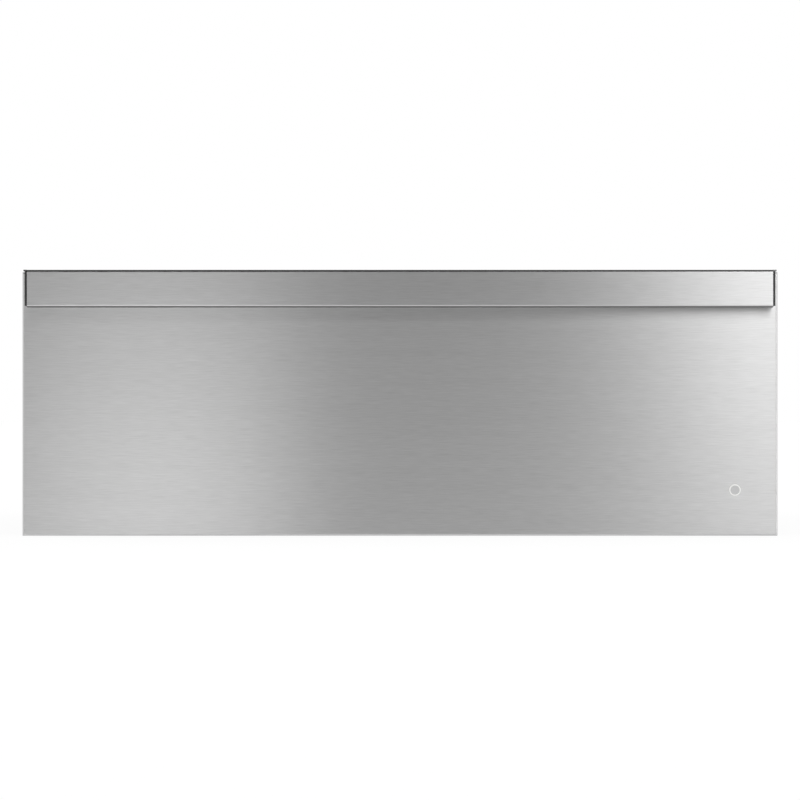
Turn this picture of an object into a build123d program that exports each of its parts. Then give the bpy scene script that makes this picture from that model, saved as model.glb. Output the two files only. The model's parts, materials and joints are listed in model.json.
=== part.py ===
from build123d import *
from math import acos, cos, degrees, radians, sin
import os

# A built-in warming drawer. Sizes are millimetres. X runs to the right, Y to the rear and Z up.
# The origin is the middle of the front edge of the case's floor, in the plane of the cabinet's face.

os.makedirs("parts", exist_ok=True)

# ---------------------------------------------------------------- driving sizes

# Case, folded from sheet. Its width follows from the front's.
case_height = 230.0
case_depth = 570.0
case_sheet = 1.0
case_bend = 2.0  # outer radius of the folds
case_lip = 13.0  # in-turned top edge of each side
flange_reach = 16.0  # mounting flange, outward from the case
flange_margin = 6.0  # the side flanges stop this far short of the floor and the top
mount_hole_r = 2.4
mount_hole_edge = 7.5  # from the hole's centre to the flange's outer edge
mount_spacing_z = 150.0
back_wall = 14.0  # depth of the back panel's folded edge
top_rib_width = 560.0  # stiffening ribs pressed into the top
top_rib_depth = 36.0
top_rib_rise = 3.0
top_rib_draught = 40.0  # degrees

# Mounting frame round the cavity's mouth
frame_sheet = 1.0
frame_return = 10.0  # its lip into the cavity, from the frame's face
mouth_round = 0.9
frame_below = 3.0
mouth_sill = 2.0  # from the reflector up to the mouth

# Cavity, its insulation and the room round it
liner_sheet = 1.0
side_wool = 13.0
floor_wool = 5.0
top_wool = 14.0
back_wool = 12.0
control_space = 37.0  # from the cavity's ceiling to the case's top
ceiling_lip = 6.0  # upturned front edge of the ceiling
rear_space = 40.0  # from the cavity's back to the back panel
reflector_sheet = 1.0
reflector_rim = 6.0
fit_gap = 0.3  # between a loose piece and what it lies beside

# Heating element
element_r = 3.5
element_rise = 13.0  # axis above the reflector
element_bend = 40.0
element_lead = 40.0  # each lead's distance from the middle
element_inner = 130.0  # inner runs, from the middle
element_side = 53.0  # outer runs, from the cavity's side
element_front = 70.0
element_rear = 58.0  # rear runs, from the cavity's back
element_loop = 80.0  # the middle run lies this far in front of the rear runs
element_tail = 6.0  # of the leads, behind the insulation
bracket_foot = 14.0
bracket_over = 7.7  # from the element's axis to the brackets' top
bracket_end = 10.5  # past the runs that a bracket holds
bushing_r = 7.0
bushing_flange_r = 10.0
bushing_flange = 3.0

# Ball-bearing runners in three members
ball_r = 2.38
race_gap = 0.12
slide_sheet = 1.2
slide_height = 45.0
slide_z = 100.0
race_angle = 31.2  # from one ball's centre down to the next one's
outer_lip = 14.0  # free edge of each ball track, as an angle round its ball
middle_lip = 25.0
inner_lip = 132.0
inner_rim = 55.0
middle_bend = 0.8
cage_sheet = 0.6
cage_gap = 0.3
cage_length = 200.0
cage_start = 160.0
cage_tongue = 5.4  # how far the inner cage's tongue reaches
ball_pitch = 62.0
balls_per_row = 3
pocket_gap = 0.14
slide_setback = 2.0  # behind the frame's lip
slide_short = 1.7  # the runners end this far in front of the brace's back
slide_screw_front = 12.0  # from the runner's front end to its first screw
slide_screw_rear = (78.0, 18.0)  # from its rear end to the other two
rivet_head = 0.9
access_hole_r = 6.0
access_shift = 48.0  # from a screw to the hole in the closed middle member

# Drawer
rail_sheet = 1.2
rail_bend = 2.4
rail_ledge = 12.8  # top flange that carries the pan
rail_foot = 10.0
rail_below = 15.0  # the rail's lower edge, below the runner
rail_tab = 18.0
rail_windows = 4
rail_window_pitch = 125.0
rail_window_width = 83.0
rail_window_height = 26.0
brace_depth = 12.0
stop_length = 16.0
stop_gap = 0.3
stop_r = 7.0
stop_tip_r = 4.9
stop_side = 106.0  # from the case's side
pan_sheet = 0.8
pan_headroom = 14.2
pan_clearance = 1.5
pan_rim = 12.0
pan_front_gap = 10.3  # from the front's liner to the pan's rim
pan_corner = 30.0
pan_floor_bend = 15.0
pan_over_element = 14.5
pan_taper = 3.0  # draught of the walls, in degrees

# Wire rack in the pan
rack_frame_r = 2.4
rack_wire_r = 1.5
rack_foot_r = 2.0
rack_rise = 15.0
rack_margin = 26.0
rack_corner = 28.0
rack_pitch = 36.0

# Drawer front
front_width = 755.6
front_height = 265.2  # with the handle's top plate
front_depth = 21.0  # from its face to the back of its liner
front_drop = 6.0  # it hangs this far below the case
front_lap = 3.8  # past the mounting frame, on each side
skin_sheet = 1.0
skin_bend = 2.0
skin_hem = 10.0
door_sheet = 0.8
door_inset = 3.0
emboss_rise = 3.0
emboss_side = 42.0  # from the mouth's side to the raised panel
emboss_low = 14.0
emboss_high = 20.0
emboss_draught = 40.0  # degrees
emboss_corner = 15.0
seal_gap = 0.3
gasket_thick = 4.0
gasket_width = 6.0
gasket_margin = 3.0
gasket_round = 1.6

# Handle across the top of the front
handle_side = 3.9  # from the front's side to the handle's
handle_inset = 3.45  # from the top plate's end to the face's end
handle_reach = 24.0
handle_height = 37.4
handle_sheet = 1.5
handle_bend = 2.5
handle_hem = 6.0
stud_r = 2.0
stud_length = 6.0
stud_end = 33.9  # from the handle's end to its last stud
stud_count = 5
nut_r = 4.0
nut_height = 3.2
nut_flange_r = 4.8
thread_gap = 0.05
cap_thick = 2.35
cap_setback = 0.3
cap_rise = 1.6  # above the handle's lower edge
cap_lip = 1.2
cap_lip_reach = 5.0
cap_round = 1.0

# Badge disc
badge_r = 5.8
badge_side = 42.8  # from the front's right side
badge_rise = 45.8  # above the front's lower edge
badge_proud = 1.0
badge_rim = 0.9
badge_dish = 0.35
badge_stem_r = 1.5
badge_stem = 5.0

# Moisture vent in the front's liner
vent_slots = 6
vent_pitch = 32.0
vent_slot_width = 10.0
vent_slot_height = 4.0
vent_travel = 16.0
vent_sheet = 1.0
vent_height = 9.0
vent_above = 3.5  # above the pan's rim
vent_pin_r = 1.5
vent_pin_x = 95.0
vent_end = 19.2  # past each pin
vent_knob_width = 14.0
vent_knob_height = 5.0
vent_knob_reach = 4.6

# Controls, behind the front, over the mouth
fascia_width = 220.0
fascia_proud = 1.5
fascia_overlap = 4.0
fascia_collar = 4.0  # behind the frame's face
control_gap = 2.0  # over the gasket and under the case's top
wall_plastic = 1.5
housing_depth = 27.0
board_thick = 1.6
board_inset = 12.0  # from the housing's floor
post_x = 99.0
post_r = 2.0
button_width = 17.4
button_height = 9.4
button_proud = 1.0
button_travel = 0.8
button_gap = 0.3
button_flange = 1.5
button_round = 2.0
button_inner = 62.0
button_outer = 90.0
switch_size = 6.0
switch_height = 5.0
stem_r = 1.5
lens_width = 69.6
lens_height = 13.6
lens_recess = 0.1
lens_flange = 2.0
display_margin = 1.0

# Electrical pieces at the rear
sensor_r = 3.0
sensor_side = 178.0  # from the case's right side
sensor_z = 120.0
sensor_gap = 1.3  # from the brace to the probe's tip
sensor_hex_r = 7.2
sensor_hex_thick = 6.0
sensor_round = 1.2
cutout_r = 8.5
cutout_thick = 6.0
cutout_ears = 27.0
cutout_ear_height = 7.6
cutout_room_r = 15.3  # in the insulation round it
cutout_blade_x = 4.2
cutout_blade_height = 5.6
cutout_side = 178.0  # from the case's left side
cutout_z = 60.0
module_width = 130.0
module_height = 90.0
module_body = 14.0
module_rib = 5.0
module_ribs = 8
module_rib_pitch = 13.0
module_rib_height = 72.0
module_side = 163.0  # from the case's left side
module_z = 105.0
box_width = 74.0
box_height = 64.0
box_depth = 24.0
box_side = 108.0  # from the case's right side
box_z = 90.0
window_margin = 4.0
cover_margin = 9.0
cover_sheet = 1.2
gland_bore_r = 6.5
gland_barrel_r = 9.0
gland_flange_r = 12.5
gland_inside = 9.0
gland_outside = 14.0
gland_collar = 3.6
gland_round = 1.0
louvre_width = 30.0
louvre_height = 3.0
louvre_columns = 6
louvre_rows = 4
louvre_pitch_x = 45.0
louvre_pitch_z = 15.0

# Fasteners
screw_r = 1.8
screw_head_r = 3.6
screw_head = 1.6
screw_length = 6.0
rail_screw_length = 5.0
hole_gap = 0.15

# Rows of screws and feet, as shares of the length that they divide
top_row = (0.18, 0.5, 0.82)
back_row = (0.15, 0.5, 0.85)
back_side_row = (0.26, 0.74)
mouth_row = (0.15, 0.5, 0.85)
mouth_side_row = (0.2, 0.85)
rail_row = (0.08, 0.5, 0.92)
tab_row = (0.2, 0.85)
front_row = (0.14, 0.38, 0.62, 0.86)
front_side_row = (0.25, 0.5, 0.75)
foot_row = (0.2, 0.8)

half_turn = 180.0  # degrees

# ---------------------------------------------------------------- places worked out from the sizes

front_half = front_width / 2
frame_half = front_half - front_lap
case_half = frame_half - flange_reach
case_inner = case_half - case_sheet
liner_outer = case_inner - side_wool
cavity_half = liner_outer - liner_sheet
mouth_half = cavity_half - frame_sheet
mount_x = frame_half - mount_hole_edge
stop_x = case_half - stop_side
sensor_x = case_half - sensor_side
cutout_x = cutout_side - case_half
module_x = module_side - case_half
box_x = case_half - box_side

frame_face = -case_sheet - frame_sheet
return_end = frame_face + frame_return
liner_face = frame_face - seal_gap - gasket_thick
skin_face = liner_face - front_depth
skin_back = liner_face - door_sheet
handle_face = skin_face - handle_reach
back_liner = case_depth - case_sheet - rear_space
cavity_rear = back_liner - liner_sheet

reflector_z = case_sheet + floor_wool
reflector_top = reflector_z + reflector_sheet
mouth_low = reflector_top + mouth_sill
case_under = case_height - case_sheet
ceiling = case_under - control_space - liner_sheet
mouth_high = ceiling - frame_sheet
frame_low = -frame_below
frame_high = case_height + flange_reach

slide_start = return_end + slide_setback
brace_back = cavity_rear - stop_length - stop_gap
slide_end = brace_back - slide_short
slide_length = slide_end - slide_start
brace_front = brace_back - brace_depth

rail_top = ceiling - pan_headroom - pan_sheet
rail_bottom = slide_z - slide_height / 2 - rail_below
pan_top = rail_top + pan_sheet
element_z = reflector_top + element_rise
pan_bottom = element_z + element_r + pan_over_element

front_low = -front_drop
front_high = front_low + front_height
skin_high = front_high - handle_sheet
handle_low = front_high - handle_height
plate_half = front_half - handle_side
handle_half = plate_half - handle_inset
badge_x = front_half - badge_side
badge_z = front_low + badge_rise

seal_half = mouth_half + gasket_margin
seal_low = mouth_low - gasket_margin
seal_high = mouth_high + gasket_margin
control_low = seal_high + gasket_width + control_gap
control_high = case_under - control_gap
control_z = (control_low + control_high) / 2

# Runner section: u is measured from the cavity's side towards the drawer, w up from the runner's axis
race_r = ball_r + race_gap + slide_sheet / 2
ball_u1 = slide_sheet / 2 + race_r
ball_w1 = slide_height / 2 - race_r - slide_sheet / 2
ball_u2 = ball_u1 + 2 * race_r * cos(radians(race_angle))
ball_w2 = ball_w1 - 2 * race_r * sin(radians(race_angle))
slide_thick = ball_u2 + race_r + slide_sheet / 2
middle_u = slide_sheet + 2 * cage_gap + cage_sheet + slide_sheet / 2
rail_face = cavity_half - slide_thick
rail_inner = rail_face - rail_sheet
pan_half = rail_face - rail_ledge - pan_clearance
pan_front = liner_face + pan_front_gap + pan_rim
pan_rear = brace_back - rail_sheet - fit_gap - pan_rim


# ---------------------------------------------------------------- shared shapes


def level(z):
    """Flat plane at a height. Its sketches are drawn in X and Y."""
    return Plane.XY.offset(z)


def across(y):
    """Upright plane at a depth, facing the front. Its sketches are drawn in X and Z."""
    return Plane.XZ.offset(-y)


def lengthwise(x):
    """Upright plane at a distance to the right, facing right. Its sketches are drawn in Y and Z."""
    return Plane.YZ.offset(x)


def rearward(y, x=0.0, z=0.0):
    """Upright plane at a depth, facing the rear, for a tray that opens there."""
    return Plane(origin=(x, y, z), x_dir=(-1, 0, 0), z_dir=(0, 1, 0))


def sideways(x, facing):
    """Upright plane at a distance to the right, facing right (1) or left (-1), drawn in facing * Y and Z."""
    return Plane(origin=(x, 0, 0), x_dir=(0, facing, 0), z_dir=(facing, 0, 0))


def slab(plane, low, high, thick, both=False, mode=Mode.ADD):
    """Plate whose outline runs from the corner low to the corner high of the plane."""
    with BuildSketch(plane) as outline:
        with Locations(((low[0] + high[0]) / 2, (low[1] + high[1]) / 2)):
            Rectangle(high[0] - low[0], high[1] - low[1])
    return extrude(outline.sketch, amount=thick, both=both, mode=mode)


def rounds(plane, places, radius, length, both=False, mode=Mode.ADD):
    """Round bars or holes at places of the plane."""
    with BuildSketch(plane) as circles:
        with Locations(*places):
            Circle(radius)
    return extrude(circles.sketch, amount=length, both=both, mode=mode)


def drill(plane, places, radius, reach=4.0):
    """Round holes through whatever lies within reach of the plane."""
    return rounds(plane, places, radius, reach, both=True, mode=Mode.SUBTRACT)


def screws(plane, places, head=screw_head, length=screw_length):
    """Low-headed screws whose heads stand on the plane."""
    rounds(plane, places, screw_head_r, head)
    rounds(plane, places, screw_r, -length)


def folded_strip(plane, points, sheet, bend, length, both=False):
    """Sheet folded along the middle line through the points and drawn out along the plane's normal."""
    with BuildSketch(plane) as section:
        with BuildLine():
            FilletPolyline(*points, radius=bend - sheet / 2)
        trace(line_width=sheet)
    return extrude(section.sketch, amount=length, both=both)


def folded_tray(plane, width, height, depth, sheet, bend):
    """Tray folded from one sheet: its floor lies on the plane and its walls rise along the normal."""
    along = Axis(plane.origin, plane.z_dir)
    with BuildSketch(plane) as floor:
        Rectangle(width, height)
    extrude(floor.sketch, amount=depth)
    fillet(faces().sort_by(along)[0].edges(), radius=bend)
    offset(amount=-sheet, openings=faces().sort_by(along)[-1])


def write_pair(right, name):
    """Write a piece of the right-hand side, and its mirror image for the left."""
    with BuildPart() as left:
        mirror(right.part, about=Plane.YZ)
    for built, side in ((right, "right"), (left, "left")):
        built.part.label = f"{name}_{side}"
        export_step(built.part, f"parts/{name}_{side}.step")


def both_sides(x, values):
    """The same heights or depths at x and at -x."""
    return [(side * x, value) for side in (-1, 1) for value in values]


def spread(low, high, shares):
    """Places from low to high, at the given shares of the way."""
    return [low + (high - low) * share for share in shares]


# ---------------------------------------------------------------- case

mount_z = case_height / 2
mount_holes = both_sides(mount_x, [mount_z - mount_spacing_z / 2, mount_z + mount_spacing_z / 2])
top_screw_y = spread(0, case_depth, top_row)
back_screw_y = case_depth - back_wall / 2
back_screw_z = spread(0, case_height, back_side_row)
back_screws = [(x, back_screw_y) for x in spread(-case_half, case_half, back_row)]
back_side_screws = [(back_screw_y, z) for z in back_screw_z]
lip_screws = both_sides(case_inner - case_lip / 2, top_screw_y)
top_rib_y = spread(0, case_depth, (sum(top_row[:2]) / 2, sum(top_row[1:]) / 2))

with BuildPart() as case_shell:
    # floor, sides and in-turned top edges, from one folded sheet
    side_line = case_half - case_sheet / 2
    lip_line = case_under - case_sheet / 2
    section = [
        (case_half - case_lip, lip_line),
        (side_line, lip_line),
        (side_line, case_sheet / 2),
        (-side_line, case_sheet / 2),
        (-side_line, lip_line),
        (case_lip - case_half, lip_line),
    ]
    folded_strip(across(case_depth), section, case_sheet, case_bend, case_depth - case_bend)
    floor_half = case_half - 2 * case_bend
    slab(level(0), (-floor_half, -case_sheet), (floor_half, case_bend), case_sheet)
    # mounting flanges turned out of the sides
    for side in (-1, 1):
        flange = [
            (side * side_line, case_bend + case_sheet),
            (side * side_line, -case_sheet / 2),
            (side * frame_half, -case_sheet / 2),
        ]
        flange_height = case_under - 2 * flange_margin
        folded_strip(level(flange_margin), flange, case_sheet, case_bend, flange_height)
    drill(across(0), mount_holes, mount_hole_r)
    drill(level(lip_line), lip_screws, screw_r + hole_gap)
    for side in (-1, 1):
        drill(lengthwise(side * case_half), back_side_screws, screw_r + hole_gap)
case_shell.part.label = "case_shell"
export_step(case_shell.part, "parts/case_shell.step")

with BuildPart() as case_top:
    # cover with an upturned flange against the cabinet
    top_line = case_height - case_sheet / 2
    top_fold = [
        (case_depth, top_line),
        (-case_sheet / 2, top_line),
        (-case_sheet / 2, frame_high),
    ]
    folded_strip(lengthwise(0), top_fold, case_sheet, case_bend, case_half, both=True)
    # two stiffening ribs pressed up out of it
    for height, mode in ((case_height, Mode.ADD), (case_under, Mode.SUBTRACT)):
        with BuildSketch(level(height)) as ribs:
            with Locations(*[(0, y) for y in top_rib_y]):
                RectangleRounded(top_rib_width, top_rib_depth, top_rib_depth / 3)
        extrude(ribs.sketch, amount=top_rib_rise, taper=top_rib_draught, mode=mode)
    drill(level(case_height), lip_screws + back_screws, screw_r + hole_gap)
case_top.part.label = "case_top"
export_step(case_top.part, "parts/case_top.step")

with BuildPart() as case_back:
    # back panel, folded forward all round inside the case
    back_height = case_under - 2 * case_sheet - 4 * fit_gap
    back_plane = across(case_depth).shift_origin((0, case_depth, case_under / 2))
    back_width = 2 * (case_inner - 2 * fit_gap)
    folded_tray(back_plane, back_width, back_height, back_wall, case_sheet, case_bend)
    # window of the junction box, louvres, and the holes of the cover's screws
    window_x = box_width / 2 - window_margin
    window_z = box_height / 2 - window_margin
    window = across(case_depth)
    low = (box_x - window_x, box_z - window_z)
    high = (box_x + window_x, box_z + window_z)
    slab(window, low, high, 2 * case_sheet, both=True, mode=Mode.SUBTRACT)
    with BuildSketch(window) as louvres:
        with Locations((0, mount_z)):
            with GridLocations(louvre_pitch_x, louvre_pitch_z, louvre_columns, louvre_rows):
                SlotOverall(louvre_width, louvre_height)
    extrude(louvres.sketch, amount=2 * case_sheet, both=True, mode=Mode.SUBTRACT)
    cover_screw_x = box_width / 2 + window_margin / 2
    cover_screw_z = box_height / 2 + window_margin / 2
    cover_corners = both_sides(cover_screw_x, (-cover_screw_z, cover_screw_z))
    cover_screws = [(box_x + x, box_z + z) for x, z in cover_corners]
    drill(window, cover_screws, screw_r + hole_gap)
    for side in (-1, 1):
        drill(lengthwise(side * case_inner), back_side_screws, screw_r + hole_gap)
    drill(level(case_under), back_screws, screw_r + hole_gap)
case_back.part.label = "case_back"
export_step(case_back.part, "parts/case_back.step")

frame_screw_y = (frame_face + return_end) / 2 + frame_sheet
frame_side_screws = [(frame_screw_y, z) for z in spread(mouth_low, mouth_high, mouth_side_row)]
frame_top_screws = [(x, frame_screw_y) for x in spread(-mouth_half, mouth_half, mouth_row)]

with BuildPart() as mounting_frame:
    # face frame with a lip turned back into the cavity's mouth
    slab(across(-case_sheet), (-frame_half, frame_low), (frame_half, frame_high), frame_sheet)
    slab(across(return_end), (-cavity_half, mouth_low - frame_sheet), (cavity_half, ceiling), frame_return)
    low = (-mouth_half, mouth_low)
    high = (mouth_half, mouth_high)
    slab(across(return_end), low, high, 2 * frame_return, mode=Mode.SUBTRACT)
    mouth_edges = faces().sort_by(Axis.Y)[0].inner_wires()[0].edges()
    fillet(mouth_edges, radius=mouth_round)
    # window of the controls
    window_half = fascia_width / 2 - fascia_overlap
    with BuildSketch(across(0)) as control_window:
        with Locations((0, control_z)):
            Rectangle(2 * window_half, control_high - control_low - 2 * fascia_overlap)
    extrude(control_window.sketch, amount=3 * frame_sheet, mode=Mode.SUBTRACT)
    drill(across(0), mount_holes, mount_hole_r)
    for side in (-1, 1):
        drill(lengthwise(side * mouth_half), frame_side_screws, screw_r + hole_gap)
    drill(level(mouth_high), frame_top_screws, screw_r + hole_gap, reach=2 * frame_sheet)
mounting_frame.part.label = "mounting_frame"
export_step(mounting_frame.part, "parts/mounting_frame.step")

# ---------------------------------------------------------------- cavity

slide_screw_y = [slide_start + slide_screw_front] + [slide_end - y for y in slide_screw_rear]
slide_screw_places = [(y, slide_z) for y in slide_screw_y]

with BuildPart() as liner_side:
    # channel whose edges are turned out to the case's side
    web = liner_outer - liner_sheet / 2
    edge = case_inner - case_bend
    channel = [
        (edge, case_sheet + liner_sheet / 2),
        (web, case_sheet + liner_sheet / 2),
        (web, ceiling - liner_sheet / 2),
        (edge, ceiling - liner_sheet / 2),
    ]
    liner_depth = back_liner + case_sheet
    folded_strip(across(back_liner), channel, liner_sheet, case_bend, liner_depth)
    drill(lengthwise(cavity_half), slide_screw_places + frame_side_screws, screw_r + hole_gap)
write_pair(liner_side, "liner_side")

with BuildPart() as liner_top:
    # ceiling, folded up at its front edge
    ceiling_line = ceiling + liner_sheet / 2
    ceiling_fold = [
        (back_liner, ceiling_line),
        (-case_sheet + liner_sheet / 2, ceiling_line),
        (-case_sheet + liner_sheet / 2, ceiling + ceiling_lip),
    ]
    ceiling_half = case_inner - fit_gap
    folded_strip(lengthwise(0), ceiling_fold, liner_sheet, case_bend, ceiling_half, both=True)
    drill(level(ceiling), frame_top_screws, screw_r + hole_gap, reach=2 * liner_sheet)
liner_top.part.label = "liner_top"
export_step(liner_top.part, "parts/liner_top.step")

with BuildPart() as liner_back:
    # back of the cavity, a tray folded towards the rear
    tray_height = ceiling - reflector_z - fit_gap
    tray_z = (ceiling + reflector_z) / 2
    folded_tray(
        rearward(cavity_rear, z=tray_z),
        2 * (cavity_half - fit_gap),
        tray_height,
        back_wool + liner_sheet,
        liner_sheet,
        case_bend,
    )
    drill(across(cavity_rear), both_sides(element_lead, [element_z]), bushing_r + hole_gap)
    drill(across(cavity_rear), [(sensor_x, sensor_z)], sensor_r + hole_gap)
liner_back.part.label = "liner_back"
export_step(liner_back.part, "parts/liner_back.step")

with BuildPart() as heat_reflector:
    # shallow tray under the element
    reflector_front = return_end + fit_gap
    reflector_rear = cavity_rear - fit_gap
    reflector_y = (reflector_front + reflector_rear) / 2
    folded_tray(
        level(reflector_z).shift_origin((0, reflector_y, reflector_z)),
        2 * (cavity_half - fit_gap),
        reflector_rear - reflector_front,
        reflector_rim,
        reflector_sheet,
        case_bend,
    )
heat_reflector.part.label = "heat_reflector"
export_step(heat_reflector.part, "parts/heat_reflector.step")

# ---------------------------------------------------------------- insulation

with BuildPart() as insulation_sides:
    # one slab in each side channel, with pockets for the screws' ends
    for side in (-1, 1):
        inner = side * (liner_outer + fit_gap)
        outer = side * (case_inner - fit_gap)
        low = (min(inner, outer), case_sheet + liner_sheet + fit_gap)
        high = (max(inner, outer), ceiling - liner_sheet - fit_gap)
        slab(across(back_liner), low, high, back_liner - case_bend)
        pockets = slide_screw_places + frame_side_screws
        drill(lengthwise(side * liner_outer), pockets, screw_head_r, reach=screw_length)
insulation_sides.part.label = "insulation_sides"
export_step(insulation_sides.part, "parts/insulation_sides.step")

with BuildPart() as insulation_top:
    wool_front = housing_depth + 2 * fit_gap
    slab(
        level(ceiling + liner_sheet),
        (-case_inner + case_lip, wool_front),
        (case_inner - case_lip, back_liner),
        top_wool,
    )
insulation_top.part.label = "insulation_top"
export_step(insulation_top.part, "parts/insulation_top.step")

with BuildPart() as insulation_back:
    # slab in the back tray, open round the leads, the sensor and the cut-out
    wool_half = cavity_half - liner_sheet - 2 * fit_gap
    slab(
        across(back_liner + back_wool),
        (-wool_half, reflector_z + liner_sheet + 2 * fit_gap),
        (wool_half, ceiling - liner_sheet - 2 * fit_gap),
        back_wool - fit_gap,
    )
    openings = both_sides(element_lead, [element_z]) + [(sensor_x, sensor_z)]
    drill(across(back_liner), openings, bushing_flange_r + fit_gap, reach=2 * back_wool)
    drill(across(back_liner), [(cutout_x, cutout_z)], cutout_room_r, reach=2 * back_wool)
insulation_back.part.label = "insulation_back"
export_step(insulation_back.part, "parts/insulation_back.step")

with BuildPart() as insulation_floor:
    slab(
        level(case_sheet),
        (-cavity_half + fit_gap, return_end),
        (cavity_half - fit_gap, back_liner - fit_gap),
        floor_wool,
    )
insulation_floor.part.label = "insulation_floor"
export_step(insulation_floor.part, "parts/insulation_floor.step")

# ---------------------------------------------------------------- heating element

element_outer = cavity_half - element_side
element_back = back_liner - element_rear
element_middle = element_back - element_loop
lead_end = back_liner + back_wool + element_tail

with BuildPart() as heating_element:
    # one tube bent in a flat M, both leads through the cavity's back
    with BuildLine(level(element_z)) as route:
        FilletPolyline(
            (-element_lead, lead_end),
            (-element_lead, element_back),
            (-element_outer, element_back),
            (-element_outer, element_front),
            (-element_inner, element_front),
            (-element_inner, element_middle),
            (element_inner, element_middle),
            (element_inner, element_front),
            (element_outer, element_front),
            (element_outer, element_back),
            (element_lead, element_back),
            (element_lead, lead_end),
            radius=element_bend,
        )
    with BuildSketch(Plane(origin=route.line @ 0, z_dir=route.line % 0)):
        Circle(element_r)
    sweep()
heating_element.part.label = "heating_element"
export_step(heating_element.part, "parts/heating_element.step")

bracket_y = (element_front + element_middle) / 2
bracket_half = (element_outer - element_inner) / 2 + bracket_end
bracket_x = (element_outer + element_inner) / 2

with BuildPart() as element_brackets:
    # upright plates on the reflector, each holding two runs of the tube
    for side in (-1, 1):
        with BuildSketch(lengthwise(side * bracket_x - bracket_half)) as angle:
            with BuildLine():
                FilletPolyline(
                    (bracket_y + bracket_foot, reflector_top + rail_sheet / 2),
                    (bracket_y, reflector_top + rail_sheet / 2),
                    (bracket_y, element_z + bracket_over),
                    radius=rail_sheet,
                )
            trace(line_width=rail_sheet)
        extrude(angle.sketch, amount=2 * bracket_half)
    runs = both_sides(element_outer, [element_z]) + both_sides(element_inner, [element_z])
    drill(across(bracket_y), runs, element_r + hole_gap)
element_brackets.part.label = "element_brackets"
export_step(element_brackets.part, "parts/element_brackets.step")

with BuildPart() as element_bushings:
    # flanged ceramic sleeves in the cavity's back
    leads = both_sides(element_lead, [element_z])
    rounds(across(back_liner + back_wool), leads, bushing_r, back_wool + 2 * liner_sheet)
    rounds(across(back_liner + bushing_flange), leads, bushing_flange_r, bushing_flange)
    drill(across(back_liner), leads, element_r + hole_gap, reach=2 * back_wool)
element_bushings.part.label = "element_bushings"
export_step(element_bushings.part, "parts/element_bushings.step")

with BuildPart() as temperature_sensor:
    # probe with a hexagon head behind the cavity's back
    sensor_tip = brace_back + sensor_gap
    sensor_end = back_liner + back_wool
    rounds(across(sensor_end), [(sensor_x, sensor_z)], sensor_r, sensor_end - sensor_tip)
    with BuildSketch(across(back_liner + sensor_hex_thick)) as hexagon:
        with Locations((sensor_x, sensor_z)):
            RegularPolygon(radius=sensor_hex_r, side_count=6)
    extrude(hexagon.sketch, amount=sensor_hex_thick)
    fillet(faces().sort_by(Axis.Y)[0].edges(), radius=sensor_round)
temperature_sensor.part.label = "temperature_sensor"
export_step(temperature_sensor.part, "parts/temperature_sensor.step")

with BuildPart() as thermal_cutout:
    # disc on a small plate with two ears, and its two blade terminals
    centre = (cutout_x, cutout_z)
    rounds(across(back_liner + cutout_thick), [centre], cutout_r, cutout_thick)
    with BuildSketch(across(back_liner + liner_sheet)) as ears:
        with Locations(centre):
            SlotOverall(cutout_ears, cutout_ear_height)
    extrude(ears.sketch, amount=liner_sheet)
    for side in (-1, 1):
        blade_x = cutout_x + side * cutout_blade_x
        low = (blade_x - liner_sheet / 2, cutout_z - cutout_blade_height / 2)
        high = (blade_x + liner_sheet / 2, cutout_z + cutout_blade_height / 2)
        slab(across(back_liner + back_wool), low, high, back_wool - cutout_thick / 2)
thermal_cutout.part.label = "thermal_cutout"
export_step(thermal_cutout.part, "parts/thermal_cutout.step")

# ---------------------------------------------------------------- ball-bearing runners

track = Plane(origin=(cavity_half, slide_start, slide_z), x_dir=(-1, 0, 0), z_dir=(0, 1, 0))
inner_web = slide_thick - slide_sheet / 2
drawer_screw_y = spread(slide_start, slide_end, rail_row)

with BuildPart() as slide_outer:
    # member fixed to the cavity's side, its edges curled over the outer balls
    with BuildSketch(track) as outer_section:
        with BuildLine():
            Line((slide_sheet / 2, 0), (slide_sheet / 2, ball_w1))
            CenterArc((ball_u1, ball_w1), race_r, half_turn, outer_lip - half_turn)
            mirror(about=Plane.XZ)
        trace(line_width=slide_sheet)
    extrude(outer_section.sketch, amount=slide_length)
    drill(lengthwise(cavity_half), slide_screw_places, screw_r + hole_gap)
write_pair(slide_outer, "slide_outer")

# where the middle member's web bends into the track under the outer balls
bend_reach = race_r + middle_bend
bend_angle = degrees(acos((middle_u + middle_bend - ball_u1) / bend_reach))
bend_w = ball_w1 - bend_reach * sin(radians(bend_angle))

with BuildPart() as slide_middle:
    # member that runs under the outer balls and over the inner ones
    with BuildSketch(track) as middle_section:
        with BuildLine():
            Line((middle_u, 0), (middle_u, bend_w))
            CenterArc((middle_u + middle_bend, bend_w), middle_bend, half_turn, -bend_angle)
            CenterArc((ball_u1, ball_w1), race_r, -bend_angle, bend_angle - race_angle)
            lip_turn = middle_lip + race_angle - half_turn
            CenterArc((ball_u2, ball_w2), race_r, half_turn - race_angle, lip_turn)
            mirror(about=Plane.XZ)
        trace(line_width=slide_sheet)
    extrude(middle_section.sketch, amount=slide_length)
    # holes through which the outer member's screws are reached
    access_y = [slide_screw_y[0] + access_shift] + [y - access_shift for y in slide_screw_y[1:]]
    access = [(y, slide_z) for y in access_y]
    drill(lengthwise(cavity_half - middle_u), access, access_hole_r, reach=slide_sheet)
write_pair(slide_middle, "slide_middle")

# where the inner member's web bends back into the track under the inner balls
rim_u = ball_u2 + race_r * cos(radians(inner_rim))
rim_w = ball_w2 - race_r * sin(radians(inner_rim))
inner_bend = (inner_web - rim_u) / (1 + cos(radians(inner_rim)))
inner_bend_w = rim_w - inner_bend * sin(radians(inner_rim))

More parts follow.
